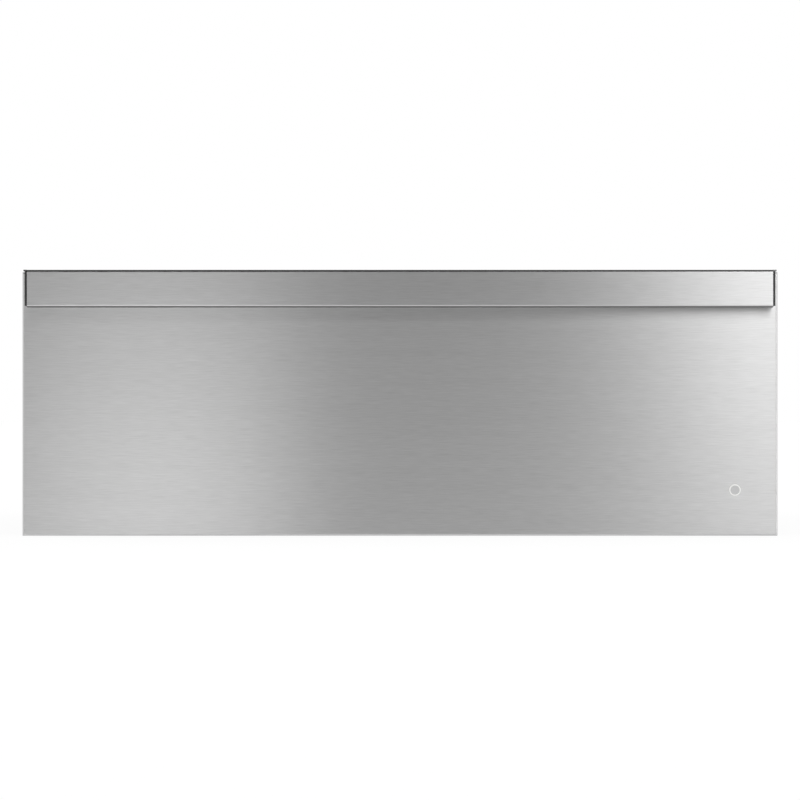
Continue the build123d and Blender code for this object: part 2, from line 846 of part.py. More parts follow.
with BuildPart() as slide_inner:
    # member fixed to the drawer's rail, its edges rolled into tracks under the inner balls
    with BuildSketch(track) as inner_section:
        with BuildLine():
            Line((inner_web, 0), (inner_web, inner_bend_w))
            CenterArc((inner_web - inner_bend, inner_bend_w), inner_bend, 0, half_turn - inner_rim)
            CenterArc((ball_u2, ball_w2), race_r, -inner_rim, inner_rim - inner_lip)
            mirror(about=Plane.XZ)
        trace(line_width=slide_sheet)
    extrude(inner_section.sketch, amount=slide_length)
    drill(lengthwise(rail_face), [(y, slide_z) for y in drawer_screw_y], screw_r + hole_gap)
write_pair(slide_inner, "slide_inner")


def ball_cage(web_u, tongue_end, tongue_w, ball_u, ball_w):
    """Cage strip with a tongue along each edge, cut away round its balls, and the balls."""
    strip = track.offset(cage_start - slide_start)
    edge_w = tongue_w + cage_sheet / 2
    slab(strip, (web_u, -edge_w), (web_u + cage_sheet, edge_w), cage_length)
    for side in (-1, 1):
        low = (web_u, side * tongue_w - cage_sheet / 2)
        high = (tongue_end, side * tongue_w + cage_sheet / 2)
        slab(strip, low, high, cage_length)
    first_ball = cage_start + (cage_length - (balls_per_row - 1) * ball_pitch) / 2
    places = [
        (cavity_half - ball_u, first_ball + i * ball_pitch, slide_z + side * ball_w)
        for i in range(balls_per_row)
        for side in (-1, 1)
    ]
    with Locations(*places):
        Sphere(ball_r + pocket_gap, mode=Mode.SUBTRACT)
    with Locations(*places):
        Sphere(ball_r)


with BuildPart() as ball_cage_outer:
    outer_web_u = slide_sheet + cage_gap
    ball_cage(outer_web_u, ball_u1 + cage_sheet, ball_w1, ball_u1, ball_w1)
write_pair(ball_cage_outer, "ball_cage_outer")

with BuildPart() as ball_cage_inner:
    inner_web_u = middle_u + slide_sheet / 2 + cage_gap
    inner_tongue_w = ball_w1 - race_r - slide_sheet / 2 - cage_gap - cage_sheet / 2
    ball_cage(inner_web_u, inner_web_u + cage_tongue, inner_tongue_w, ball_u2, ball_w2)
write_pair(ball_cage_inner, "ball_cage_inner")

with BuildPart() as slide_screws:
    # low-headed screws that hold the outer members
    for side in (-1, 1):
        seat = sideways(side * (cavity_half - slide_sheet), -side)
        screws(seat, [(-side * y, slide_z) for y in slide_screw_y], head=rivet_head)
slide_screws.part.label = "slide_screws"
export_step(slide_screws.part, "parts/slide_screws.step")

with BuildPart() as frame_screws:
    # through the frame's lip into the cavity's sides and ceiling
    for side in (-1, 1):
        seat = sideways(side * mouth_half, -side)
        screws(seat, [(-side * y, z) for y, z in frame_side_screws], head=rivet_head)
    under = Plane(origin=(0, 0, mouth_high), x_dir=(1, 0, 0), z_dir=(0, 0, -1))
    screws(under, [(x, -y) for x, y in frame_top_screws], head=rivet_head)
frame_screws.part.label = "frame_screws"
export_step(frame_screws.part, "parts/frame_screws.step")

# ---------------------------------------------------------------- drawer

rail_rear = brace_front - fit_gap
tab_screws = both_sides(rail_face - rail_tab / 2, spread(rail_bottom, rail_top, tab_row))

with BuildPart() as drawer_rail:
    # channel that carries the pan's rim, with a tab for the front and long openings in its web
    rail_web = rail_face - rail_sheet / 2
    rail_points = [
        (rail_face - rail_foot, rail_bottom + rail_sheet / 2),
        (rail_web, rail_bottom + rail_sheet / 2),
        (rail_web, rail_top - rail_sheet / 2),
        (rail_face - rail_ledge, rail_top - rail_sheet / 2),
    ]
    folded_strip(across(rail_rear), rail_points, rail_sheet, rail_bend, rail_rear - liner_face)
    slab(
        across(liner_face + rail_sheet),
        (rail_face - rail_tab, rail_bottom + rail_bend),
        (rail_face - rail_sheet / 2, rail_top - rail_bend),
        rail_sheet,
    )
    rail_window_z = (slide_z + slide_height / 2 + rail_top) / 2
    with BuildSketch(lengthwise(rail_face)) as windows:
        with Locations(((slide_start + slide_end) / 2, rail_window_z)):
            with GridLocations(rail_window_pitch, 1, rail_windows, 1):
                SlotOverall(rail_window_width, rail_window_height)
    extrude(windows.sketch, amount=2 * rail_sheet, both=True, mode=Mode.SUBTRACT)
    drill(lengthwise(rail_face), [(y, slide_z) for y in drawer_screw_y], screw_r + hole_gap)
    drill(across(liner_face), tab_screws, screw_r + hole_gap)
write_pair(drawer_rail, "drawer_rail")

with BuildPart() as drawer_brace:
    # rear cross channel between the rails' ends
    brace_points = [
        (brace_front, rail_top - rail_sheet / 2),
        (brace_back - rail_sheet / 2, rail_top - rail_sheet / 2),
        (brace_back - rail_sheet / 2, rail_bottom + rail_sheet / 2),
        (brace_front, rail_bottom + rail_sheet / 2),
    ]
    folded_strip(lengthwise(0), brace_points, rail_sheet, rail_bend, rail_face, both=True)
drawer_brace.part.label = "drawer_brace"
export_step(drawer_brace.part, "parts/drawer_brace.step")

with BuildPart() as drawer_bumpers:
    # rubber stops on the cavity's back
    for side in (-1, 1):
        with BuildSketch(level(sensor_z)) as stop:
            with BuildLine():
                Polyline(
                    (side * stop_x, cavity_rear),
                    (side * stop_x + stop_r, cavity_rear),
                    (side * stop_x + stop_tip_r, cavity_rear - stop_length),
                    (side * stop_x, cavity_rear - stop_length),
                    close=True,
                )
            make_face()
        revolve(stop.sketch, axis=Axis((side * stop_x, 0, sensor_z), (0, 1, 0)))
drawer_bumpers.part.label = "drawer_bumpers"
export_step(drawer_bumpers.part, "parts/drawer_bumpers.step")

pan_y = (pan_front + pan_rear) / 2
pan_depth = pan_rear - pan_front


def drawn_form(shrink):
    """The pan's rounded, tapered form, smaller all round by shrink but as high at the mouth."""
    with BuildPart() as form:
        with BuildSketch(level(pan_top)):
            with Locations((0, pan_y)):
                RectangleRounded(2 * (pan_half - shrink), pan_depth - 2 * shrink, pan_corner - shrink)
        extrude(amount=pan_bottom + shrink - pan_top, taper=pan_taper)
        fillet(form.faces().sort_by(Axis.Z)[0].edges(), radius=pan_floor_bend - shrink)
    return form.part


pan_outside = drawn_form(0)
pan_inside = drawn_form(pan_sheet)

with BuildPart() as warming_pan:
    # deep drawn pan with tapered walls and a flat rim
    add(pan_outside)
    add(pan_inside, mode=Mode.SUBTRACT)
    with BuildSketch(level(rail_top)) as rim:
        with Locations((0, pan_y)):
            RectangleRounded(2 * (pan_half + pan_rim), pan_depth + 2 * pan_rim, pan_corner + pan_rim)
            RectangleRounded(
                2 * (pan_half - pan_sheet),
                pan_depth - 2 * pan_sheet,
                pan_corner - pan_sheet,
                mode=Mode.SUBTRACT,
            )
    extrude(rim.sketch, amount=pan_sheet)
warming_pan.part.label = "warming_pan"
export_step(warming_pan.part, "parts/warming_pan.step")

rack_z = pan_bottom + pan_sheet + rack_rise
rack_half = pan_half - rack_margin
rack_low = pan_front + rack_margin
rack_high = pan_rear - rack_margin
rack_wires = int(2 * (rack_half - rack_corner) / rack_pitch)

with BuildPart() as wire_rack:
    # low rack: a bent frame on four feet, with cross wires over it
    with BuildLine(level(rack_z)) as loop:
        FilletPolyline(
            (rack_half, rack_low),
            (rack_half, rack_high),
            (-rack_half, rack_high),
            (-rack_half, rack_low),
            radius=rack_corner,
            close=True,
        )
    with BuildSketch(Plane(origin=loop.line @ 0, z_dir=loop.line % 0)):
        Circle(rack_frame_r)
    sweep()
    first_wire = -(rack_wires - 1) * rack_pitch / 2
    wires_x = [first_wire + i * rack_pitch for i in range(rack_wires)]
    wire_z = rack_z + rack_frame_r
    rounds(across(rack_high), [(x, wire_z) for x in wires_x], rack_wire_r, rack_high - rack_low)
    feet = both_sides(rack_half, spread(rack_low, rack_high, foot_row))
    rounds(level(pan_bottom + pan_sheet), feet, rack_foot_r, rack_rise)
wire_rack.part.label = "wire_rack"
export_step(wire_rack.part, "parts/wire_rack.step")

# ---------------------------------------------------------------- drawer front

front_z = (front_low + skin_high) / 2
stud_y = (skin_face + skin_back) / 2
stud_half = plate_half - stud_end
studs_x = [stud_half * (2 * i / (stud_count - 1) - 1) for i in range(stud_count)]
studs = [(x, stud_y) for x in studs_x]
front_screws = (
    both_sides(front_half - skin_sheet - skin_hem / 2, spread(front_low, front_high, front_side_row))
    + [(x, skin_high - skin_sheet - skin_hem / 2) for x in spread(-front_half, front_half, front_row)]
    + both_sides(mount_x, [front_low + skin_sheet + skin_hem / 2])
)

with BuildPart() as front_skin:
    # one stainless sheet, folded back on four sides and in again behind
    with BuildSketch(across(skin_back)) as skin_outline:
        with Locations((0, front_z)):
            Rectangle(front_width, skin_high - front_low)
    extrude(skin_outline.sketch, amount=skin_back - skin_face)
    fillet(faces().sort_by(Axis.Y)[0].edges(), radius=skin_bend)
    offset(amount=-skin_sheet, openings=faces().sort_by(Axis.Y)[-1])
    with BuildSketch(across(skin_back)) as hem:
        with Locations((0, front_z)):
            Rectangle(front_width, skin_high - front_low)
            Rectangle(
                front_width - 2 * (skin_sheet + skin_hem),
                skin_high - front_low - 2 * (skin_sheet + skin_hem),
                mode=Mode.SUBTRACT,
            )
    extrude(hem.sketch, amount=skin_sheet)
    drill(level(skin_high), studs, stud_r + 2 * hole_gap, reach=2 * skin_sheet)
    drill(across(skin_face), [(badge_x, badge_z)], badge_stem_r + hole_gap)
    drill(across(skin_back), front_screws, screw_r + hole_gap)
front_skin.part.label = "front_skin"
export_step(front_skin.part, "parts/front_skin.step")

vent_low = pan_top + vent_above
vent_z = vent_low + vent_height / 2
vent_half = vent_pin_x + vent_end
vent_slots_x = [(i - (vent_slots - 1) / 2) * vent_pitch for i in range(vent_slots)]
emboss_half = mouth_half - emboss_side
emboss_z = (mouth_low + emboss_low + mouth_high - emboss_high) / 2
emboss_height = mouth_high - emboss_high - mouth_low - emboss_low

with BuildPart() as front_liner:
    # flat sheet behind the front, with a raised panel towards the pan and the vent's slots and pins
    slab(
        across(liner_face),
        (door_inset - front_half, front_low + door_inset),
        (front_half - door_inset, skin_high - door_inset),
        door_sheet,
    )
    raised = rearward(liner_face, z=emboss_z)
    with BuildSketch(raised) as panel:
        RectangleRounded(2 * emboss_half, emboss_height, emboss_corner)
    extrude(panel.sketch, amount=emboss_rise, taper=emboss_draught)
    hollow = rearward(skin_back, z=emboss_z)
    with BuildSketch(hollow) as panel_back:
        RectangleRounded(2 * emboss_half, emboss_height, emboss_corner)
    extrude(panel_back.sketch, amount=emboss_rise, taper=emboss_draught, mode=Mode.SUBTRACT)
    with BuildSketch(across(liner_face)) as slots:
        with Locations(*[(x, vent_z) for x in vent_slots_x]):
            SlotOverall(vent_slot_width, vent_slot_height)
    extrude(slots.sketch, amount=2 * door_sheet, both=True, mode=Mode.SUBTRACT)
    # pins whose heads hold the vent's slide
    pins = both_sides(vent_pin_x, [vent_z])
    pin_end = liner_face + vent_sheet + fit_gap
    rounds(across(pin_end), pins, vent_pin_r, vent_sheet + fit_gap)
    rounds(across(pin_end + vent_sheet / 2), pins, 2 * vent_pin_r, vent_sheet / 2)
    drill(across(liner_face), front_screws + tab_screws, screw_r + hole_gap)
front_liner.part.label = "front_liner"
export_step(front_liner.part, "parts/front_liner.step")

with BuildPart() as vent_slide:
    # sliding shutter with its knob
    vent_face = across(liner_face + vent_sheet + fit_gap / 2)
    slab(vent_face, (-vent_half, vent_low), (vent_half, vent_low + vent_height), vent_sheet)
    with BuildSketch(across(liner_face)) as shutter:
        with Locations(*[(x - vent_travel, vent_z) for x in vent_slots_x]):
            SlotOverall(vent_slot_width, vent_slot_height)
        with Locations(*[(x - vent_travel / 2, z) for x, z in pins]):
            SlotCenterToCenter(vent_travel, 2 * (vent_pin_r + fit_gap))
    extrude(shutter.sketch, amount=4 * vent_sheet, both=True, mode=Mode.SUBTRACT)
    knob_face = liner_face + vent_sheet + vent_knob_reach
    slab(
        across(knob_face),
        (-vent_travel / 2 - vent_knob_width / 2, vent_z - vent_knob_height / 2),
        (-vent_travel / 2 + vent_knob_width / 2, vent_z + vent_knob_height / 2),
        vent_knob_reach,
    )
    fillet(faces().sort_by(Axis.Y)[-1].edges(), radius=vent_sheet)
vent_slide.part.label = "vent_slide"
export_step(vent_slide.part, "parts/vent_slide.step")

with BuildPart() as front_insulation:
    # slab inside the front, clear of the hem, with a channel behind the vent and pockets for ends
    wool_gap = skin_sheet + skin_hem + 2 * fit_gap
    wool_low = front_low + wool_gap
    wool_high = skin_high - wool_gap
    wool_side = front_half - wool_gap
    wool_thick = front_depth - door_sheet - skin_sheet - 2 * fit_gap
    slab(across(skin_back - fit_gap), (-wool_side, wool_low), (wool_side, wool_high), wool_thick)
    low = (-vent_half, vent_low)
    high = (vent_half, wool_high)
    slab(across(skin_back), low, high, front_depth / 3, mode=Mode.SUBTRACT)
    drill(across(skin_face), [(badge_x, badge_z)], 3 * badge_stem_r, reach=2 * badge_stem)
    drill(across(skin_back), tab_screws, screw_head_r, reach=screw_length)
front_insulation.part.label = "front_insulation"
export_step(front_insulation.part, "parts/front_insulation.step")

with BuildPart() as drawer_gasket:
    # soft ring on the liner that closes on the frame round the mouth
    seal_z = (seal_low + seal_high) / 2
    with BuildSketch(across(liner_face + gasket_thick)) as ring:
        with Locations((0, seal_z)):
            RectangleRounded(
                2 * (seal_half + gasket_width),
                seal_high - seal_low + 2 * gasket_width,
                2 * gasket_width,
            )
            RectangleRounded(2 * seal_half, seal_high - seal_low, gasket_width, mode=Mode.SUBTRACT)
    extrude(ring.sketch, amount=gasket_thick)
    fillet(faces().sort_by(Axis.Y)[-1].edges(), radius=gasket_round)
drawer_gasket.part.label = "drawer_gasket"
export_step(drawer_gasket.part, "parts/drawer_gasket.step")

# ---------------------------------------------------------------- handle

with BuildPart() as handle:
    # top plate, flat face and lower hem from one sheet; the plate's ends stand out past the face
    plate_line = front_high - handle_sheet / 2
    face_line = handle_face + handle_sheet / 2
    handle_points = [
        (liner_face, plate_line),
        (face_line, plate_line),
        (face_line, handle_low + handle_sheet / 2),
        (handle_face + handle_hem, handle_low + handle_sheet / 2),
    ]
    folded_strip(lengthwise(0), handle_points, handle_sheet, handle_bend, handle_half, both=True)
    for side in (-1, 1):
        ear = sorted((side * handle_half, side * plate_half))
        slab(level(skin_high), (ear[0], handle_face), (ear[1], liner_face), handle_sheet)
    # weld studs under the plate
    rounds(level(skin_high - stud_length), studs, stud_r, stud_length)
handle.part.label = "handle"
export_step(handle.part, "parts/handle.step")

with BuildPart() as handle_nuts:
    # flanged hexagon nuts on the studs, inside the front
    nut_top = skin_high - skin_sheet
    with BuildSketch(level(nut_top - nut_height)) as hexagons:
        with Locations(*studs):
            RegularPolygon(radius=nut_r, side_count=6)
    extrude(hexagons.sketch, amount=nut_height)
    rounds(level(nut_top - skin_sheet), studs, nut_flange_r, skin_sheet)
    drill(level(nut_top), studs, stud_r + thread_gap, reach=2 * nut_height)
handle_nuts.part.label = "handle_nuts"
export_step(handle_nuts.part, "parts/handle_nuts.step")

with BuildPart() as handle_end_cap:
    # end plate with a lip that locates in the handle's section
    low = (handle_face + cap_setback, handle_low + cap_rise)
    high = (skin_face - cap_setback, skin_high)
    slab(lengthwise(handle_half), low, high, cap_thick)
    outer_face = faces().sort_by(Axis.X)[-1]
    fillet(outer_face.edges().sort_by(Axis.Y)[0], radius=cap_round)
    lip_front = handle_face + handle_sheet + hole_gap
    lip_top = skin_high - hole_gap
    with BuildSketch(lengthwise(handle_half - cap_lip_reach)) as lip:
        with BuildLine():
            FilletPolyline(
                (skin_face - 2 * cap_thick, lip_top - cap_lip / 2),
                (lip_front + cap_lip / 2, lip_top - cap_lip / 2),
                (lip_front + cap_lip / 2, handle_low + 2 * cap_thick),
                radius=handle_bend,
            )
        trace(line_width=cap_lip)
    extrude(lip.sketch, amount=cap_lip_reach)
write_pair(handle_end_cap, "handle_end_cap")

with BuildPart() as badge_disc:
    # turned disc: raised rim, plain dished field and a stem through the skin
    turning = Plane(origin=(badge_x, skin_face, badge_z), x_dir=(1, 0, 0), z_dir=(0, 0, 1))
    with BuildSketch(turning) as badge_section:
        with BuildLine():
            Polyline(
                (0, badge_dish - badge_proud),
                (badge_r - badge_rim, badge_dish - badge_proud),
                (badge_r - badge_rim, -badge_proud),
                (badge_r - badge_dish, -badge_proud),
                (badge_r, badge_dish - badge_proud),
                (badge_r, 0),
                (badge_stem_r, 0),
                (badge_stem_r, badge_stem),
                (0, badge_stem),
                close=True,
            )
        make_face()
    revolve(badge_section.sketch, axis=Axis((badge_x, 0, badge_z), (0, 1, 0)))
badge_disc.part.label = "badge_disc"
export_step(badge_disc.part, "parts/badge_disc.step")

with BuildPart() as drawer_screws:
    # of the front's liner, of the rails' tabs and of the rails
    screws(rearward(liner_face), [(-x, z) for x, z in front_screws], head=rivet_head)
    screws(rearward(liner_face + rail_sheet), [(-x, z) for x, z in tab_screws])
    for side in (-1, 1):
        seat = sideways(side * rail_inner, -side)
        screws(seat, [(-side * y, slide_z) for y in drawer_screw_y], length=rail_screw_length)
drawer_screws.part.label = "drawer_screws"
export_step(drawer_screws.part, "parts/drawer_screws.step")

# ---------------------------------------------------------------- controls

fascia_face = frame_face - fascia_proud
button_places = {
    "power": -button_outer,
    "timer": -button_inner,
    "down": button_inner,
    "up": button_outer,
}
button_places_xz = [(x, control_z) for x in button_places.values()]
board_y = -case_sheet + housing_depth - board_inset
switch_face = board_y - switch_height

with BuildPart() as control_fascia:
    # moulded plate over the frame's window, with a collar through it
    with BuildSketch(across(frame_face)) as plate:
        with Locations((0, control_z)):
            RectangleRounded(fascia_width, control_high - control_low, button_round)
    extrude(plate.sketch, amount=fascia_proud)
    fillet(faces().sort_by(Axis.Y)[0].edges(), radius=fascia_proud / 3)
    collar_half = window_half - fit_gap
    collar_height = control_high - control_low - 2 * fascia_overlap - 2 * fit_gap
    with BuildSketch(across(frame_face + fascia_collar)) as collar:
        with Locations((0, control_z)):
            Rectangle(2 * collar_half, collar_height)
            Rectangle(
                2 * (collar_half - wall_plastic),
                collar_height - 2 * wall_plastic,
                mode=Mode.SUBTRACT,
            )
    extrude(collar.sketch, amount=fascia_collar)
    with BuildSketch(across(frame_face)) as openings_front:
        with Locations((0, control_z)):
            Rectangle(lens_width + 2 * hole_gap, lens_height + 2 * hole_gap)
        with Locations(*button_places_xz):
            RectangleRounded(
                button_width + 2 * button_gap,
                button_height + 2 * button_gap,
                button_round + button_gap,
            )
    extrude(openings_front.sketch, amount=2 * fascia_proud, both=True, mode=Mode.SUBTRACT)
control_fascia.part.label = "control_fascia"
export_step(control_fascia.part, "parts/control_fascia.step")

with BuildPart() as display_lens:
    # window with a flange behind the fascia
    lens_face = fascia_face + lens_recess
    lens_back = frame_face + hole_gap + wall_plastic / 2
    low = (-lens_width / 2, control_z - lens_height / 2)
    high = (lens_width / 2, control_z + lens_height / 2)
    slab(across(frame_face + hole_gap), low, high, frame_face + hole_gap - lens_face)
    flange_high = collar_height / 2 - wall_plastic - hole_gap
    low = (low[0] - lens_flange, control_z - flange_high)
    high = (high[0] + lens_flange, control_z + flange_high)
    slab(across(lens_back), low, high, wall_plastic / 2)
display_lens.part.label = "display_lens"
export_step(display_lens.part, "parts/display_lens.step")

for button_name, button_x in button_places.items():
    with BuildPart() as button:
        # cap, retaining flange and the stem that presses its switch
        flange_front = frame_face + button_gap
        with BuildSketch(across(flange_front)) as cap:
            with Locations((button_x, control_z)):
                RectangleRounded(button_width, button_height, button_round)
        extrude(cap.sketch, amount=flange_front - fascia_face + button_proud)
        fillet(faces().sort_by(Axis.Y)[0].edges(), radius=button_proud / 2)
        flange_x = button_width / 2 + button_flange
        flange_z = button_height / 2 + button_flange
        flange_back = flange_front + button_flange
        low = (button_x - flange_x, control_z - flange_z)
        high = (button_x + flange_x, control_z + flange_z)
        slab(across(flange_back), low, high, button_flange)
        stem_end = switch_face - button_travel - hole_gap
        rounds(across(stem_end), [(button_x, control_z)], stem_r, stem_end - flange_back)
    button.part.label = f"button_{button_name}"
    export_step(button.part, f"parts/button_{button_name}.step")

with BuildPart() as control_housing:
    # open box behind the frame's window
    folded_tray(
        across(housing_depth - case_sheet).shift_origin((0, housing_depth - case_sheet, control_z)),
        fascia_width + 2 * fascia_overlap,
        control_high - control_low,
        housing_depth,
        wall_plastic,
        2 * wall_plastic,
    )
control_housing.part.label = "control_housing"
export_step(control_housing.part, "parts/control_housing.step")

with BuildPart() as control_board:
    # board on its posts with a display block and one switch behind each button
    board_half = fascia_width / 2
    low = (-board_half, control_low + 2 * wall_plastic)
    high = (board_half, control_high - 2 * wall_plastic)
    slab(across(board_y + board_thick), low, high, board_thick)
    display_front = lens_back + 2 * fit_gap
    display_half = lens_width / 2 - display_margin
    display_high = lens_height / 2 - display_margin
    low = (-display_half, control_z - display_high)
    high = (display_half, control_z + display_high)
    slab(across(board_y), low, high, board_y - display_front)
    with BuildSketch(across(board_y)) as switches:
        with Locations(*button_places_xz):
            Rectangle(switch_size, switch_size)
    extrude(switches.sketch, amount=switch_height)
    post_length = board_inset - board_thick - wall_plastic
    posts = both_sides(post_x, [control_z])
    rounds(across(board_y + board_thick + post_length), posts, post_r, post_length)
control_board.part.label = "control_board"
export_step(control_board.part, "parts/control_board.step")

with BuildPart() as power_module:
    # closed module with cooling ribs, fixed to the back panel
    panel_face = case_depth - case_sheet
    low = (module_x - module_width / 2, module_z - module_height / 2)
    high = (module_x + module_width / 2, module_z + module_height / 2)
    slab(across(panel_face), low, high, module_body)
    fillet(edges().filter_by(Axis.Y), radius=2 * wall_plastic)
    with BuildSketch(across(panel_face - module_body)) as cooling:
        with Locations((module_x, module_z)):
            with GridLocations(module_rib_pitch, 1, module_ribs, 1):
                Rectangle(wall_plastic, module_rib_height)
    extrude(cooling.sketch, amount=module_rib)
power_module.part.label = "power_module"
export_step(power_module.part, "parts/power_module.step")

with BuildPart() as junction_box:
    # box for the supply wires, open to the rear
    folded_tray(
        rearward(panel_face - box_depth, x=box_x, z=box_z),
        box_width,
        box_height,
        box_depth,
        case_sheet,
        case_bend,
    )
junction_box.part.label = "junction_box"
export_step(junction_box.part, "parts/junction_box.step")

cover_back = case_depth + cover_sheet

with BuildPart() as junction_cover:
    # plate over the box, with the gland's hole
    with BuildSketch(across(cover_back)) as cover:
        with Locations((box_x, box_z)):
            RectangleRounded(box_width + cover_margin, box_height + cover_margin, 2 * case_bend)
            Circle(gland_barrel_r + hole_gap, mode=Mode.SUBTRACT)
    extrude(cover.sketch, amount=cover_sheet)
    drill(across(cover_back), cover_screws, screw_r + hole_gap)
junction_cover.part.label = "junction_cover"
export_step(junction_cover.part, "parts/junction_cover.step")

with BuildPart() as supply_gland:
    # bush through the cover, held by a hexagon nut inside
    gland_in = cover_back - cover_sheet - gland_inside
    gland_out = cover_back + gland_outside
    rounds(across(gland_out), [(box_x, box_z)], gland_barrel_r, gland_out - gland_in)
    fillet(faces().sort_by(Axis.Y)[-1].edges(), radius=gland_round)
    rounds(across(cover_back + gland_collar), [(box_x, box_z)], gland_flange_r, gland_collar)
    with BuildSketch(across(case_depth)) as nut:
        with Locations((box_x, box_z)):
            RegularPolygon(radius=gland_flange_r, side_count=6)
    extrude(nut.sketch, amount=gland_collar)
    drill(across(cover_back), [(box_x, box_z)], gland_bore_r, reach=3 * gland_outside)
supply_gland.part.label = "supply_gland"
export_step(supply_gland.part, "parts/supply_gland.step")

with BuildPart() as case_screws:
    # of the top, of the back panel and of the junction cover
    screws(level(case_height), lip_screws + back_screws)
    for side in (-1, 1):
        screws(sideways(side * case_half, side), [(side * y, z) for y, z in back_side_screws])
    screws(rearward(cover_back), [(-x, z) for x, z in cover_screws])
case_screws.part.label = "case_screws"
export_step(case_screws.part, "parts/case_screws.step")
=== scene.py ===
import bmesh
import bpy
import json
import math
from mathutils import Matrix, Vector


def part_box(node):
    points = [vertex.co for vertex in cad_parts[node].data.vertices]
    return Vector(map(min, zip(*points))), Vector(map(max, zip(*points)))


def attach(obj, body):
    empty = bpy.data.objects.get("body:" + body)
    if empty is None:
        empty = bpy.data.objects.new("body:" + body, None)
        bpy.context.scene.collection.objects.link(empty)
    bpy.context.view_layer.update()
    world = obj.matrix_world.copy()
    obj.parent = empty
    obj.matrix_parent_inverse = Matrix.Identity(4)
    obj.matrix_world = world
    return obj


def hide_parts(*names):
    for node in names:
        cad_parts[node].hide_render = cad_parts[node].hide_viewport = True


# A built-in warming drawer: brushed front and handle, the drawer with its pan and rack on ball-bearing
# runners, and the insulated case. Metres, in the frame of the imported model.

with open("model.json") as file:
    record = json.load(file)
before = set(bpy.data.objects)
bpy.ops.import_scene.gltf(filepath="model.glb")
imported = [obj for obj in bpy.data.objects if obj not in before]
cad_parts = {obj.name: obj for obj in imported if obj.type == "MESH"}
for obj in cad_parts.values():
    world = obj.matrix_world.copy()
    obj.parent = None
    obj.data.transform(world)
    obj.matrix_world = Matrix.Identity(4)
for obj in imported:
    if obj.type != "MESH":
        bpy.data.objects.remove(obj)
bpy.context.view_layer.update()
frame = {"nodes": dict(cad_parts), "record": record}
nodes = frame["nodes"]
mm = 0.001

# ---------------------------------------------------------------- colour and nodes


def paint(hex_colour):
    """A written sRGB colour as the linear one that a shader takes."""
    channels = [int(hex_colour[i : i + 2], 16) / 255 for i in (1, 3, 5)]
    linear = [c / 12.92 if c <= 0.04045 else ((c + 0.055) / 1.055) ** 2.4 for c in channels]
    return (*linear, 1.0)


def add_node(owner, kind, options=None, values=None, links=None):
    """Add a shader node with its options, its sockets' values and its links from other nodes.

    The option "stops" lists the places and colours of a colour ramp.
    """
    node = owner.node_tree.nodes.new("ShaderNode" + kind)
    for name, option in (options or {}).items():
        if name == "stops":
            for _ in option[2:]:
                node.color_ramp.elements.new(0.5)
            for element, (position, colour) in zip(node.color_ramp.elements, option):
                element.position = position
                element.color = paint(colour)
        else:
            setattr(node, name, option)
    for socket, value in (values or {}).items():
        node.inputs[socket].default_value = value
    for socket, (source, output) in (links or {}).items():
        owner.node_tree.links.new(source.outputs[output], node.inputs[socket])
    return node


def new_material(name):
    """An empty node material."""
    material = bpy.data.materials.new(name)
    material.use_nodes = True
    material.node_tree.nodes.clear()
    return material


# ---------------------------------------------------------------- materials
# Patterns read the piece's own coordinates in metres, so a Mapping scale of 1 / size makes one feature
# of a noise about that size.


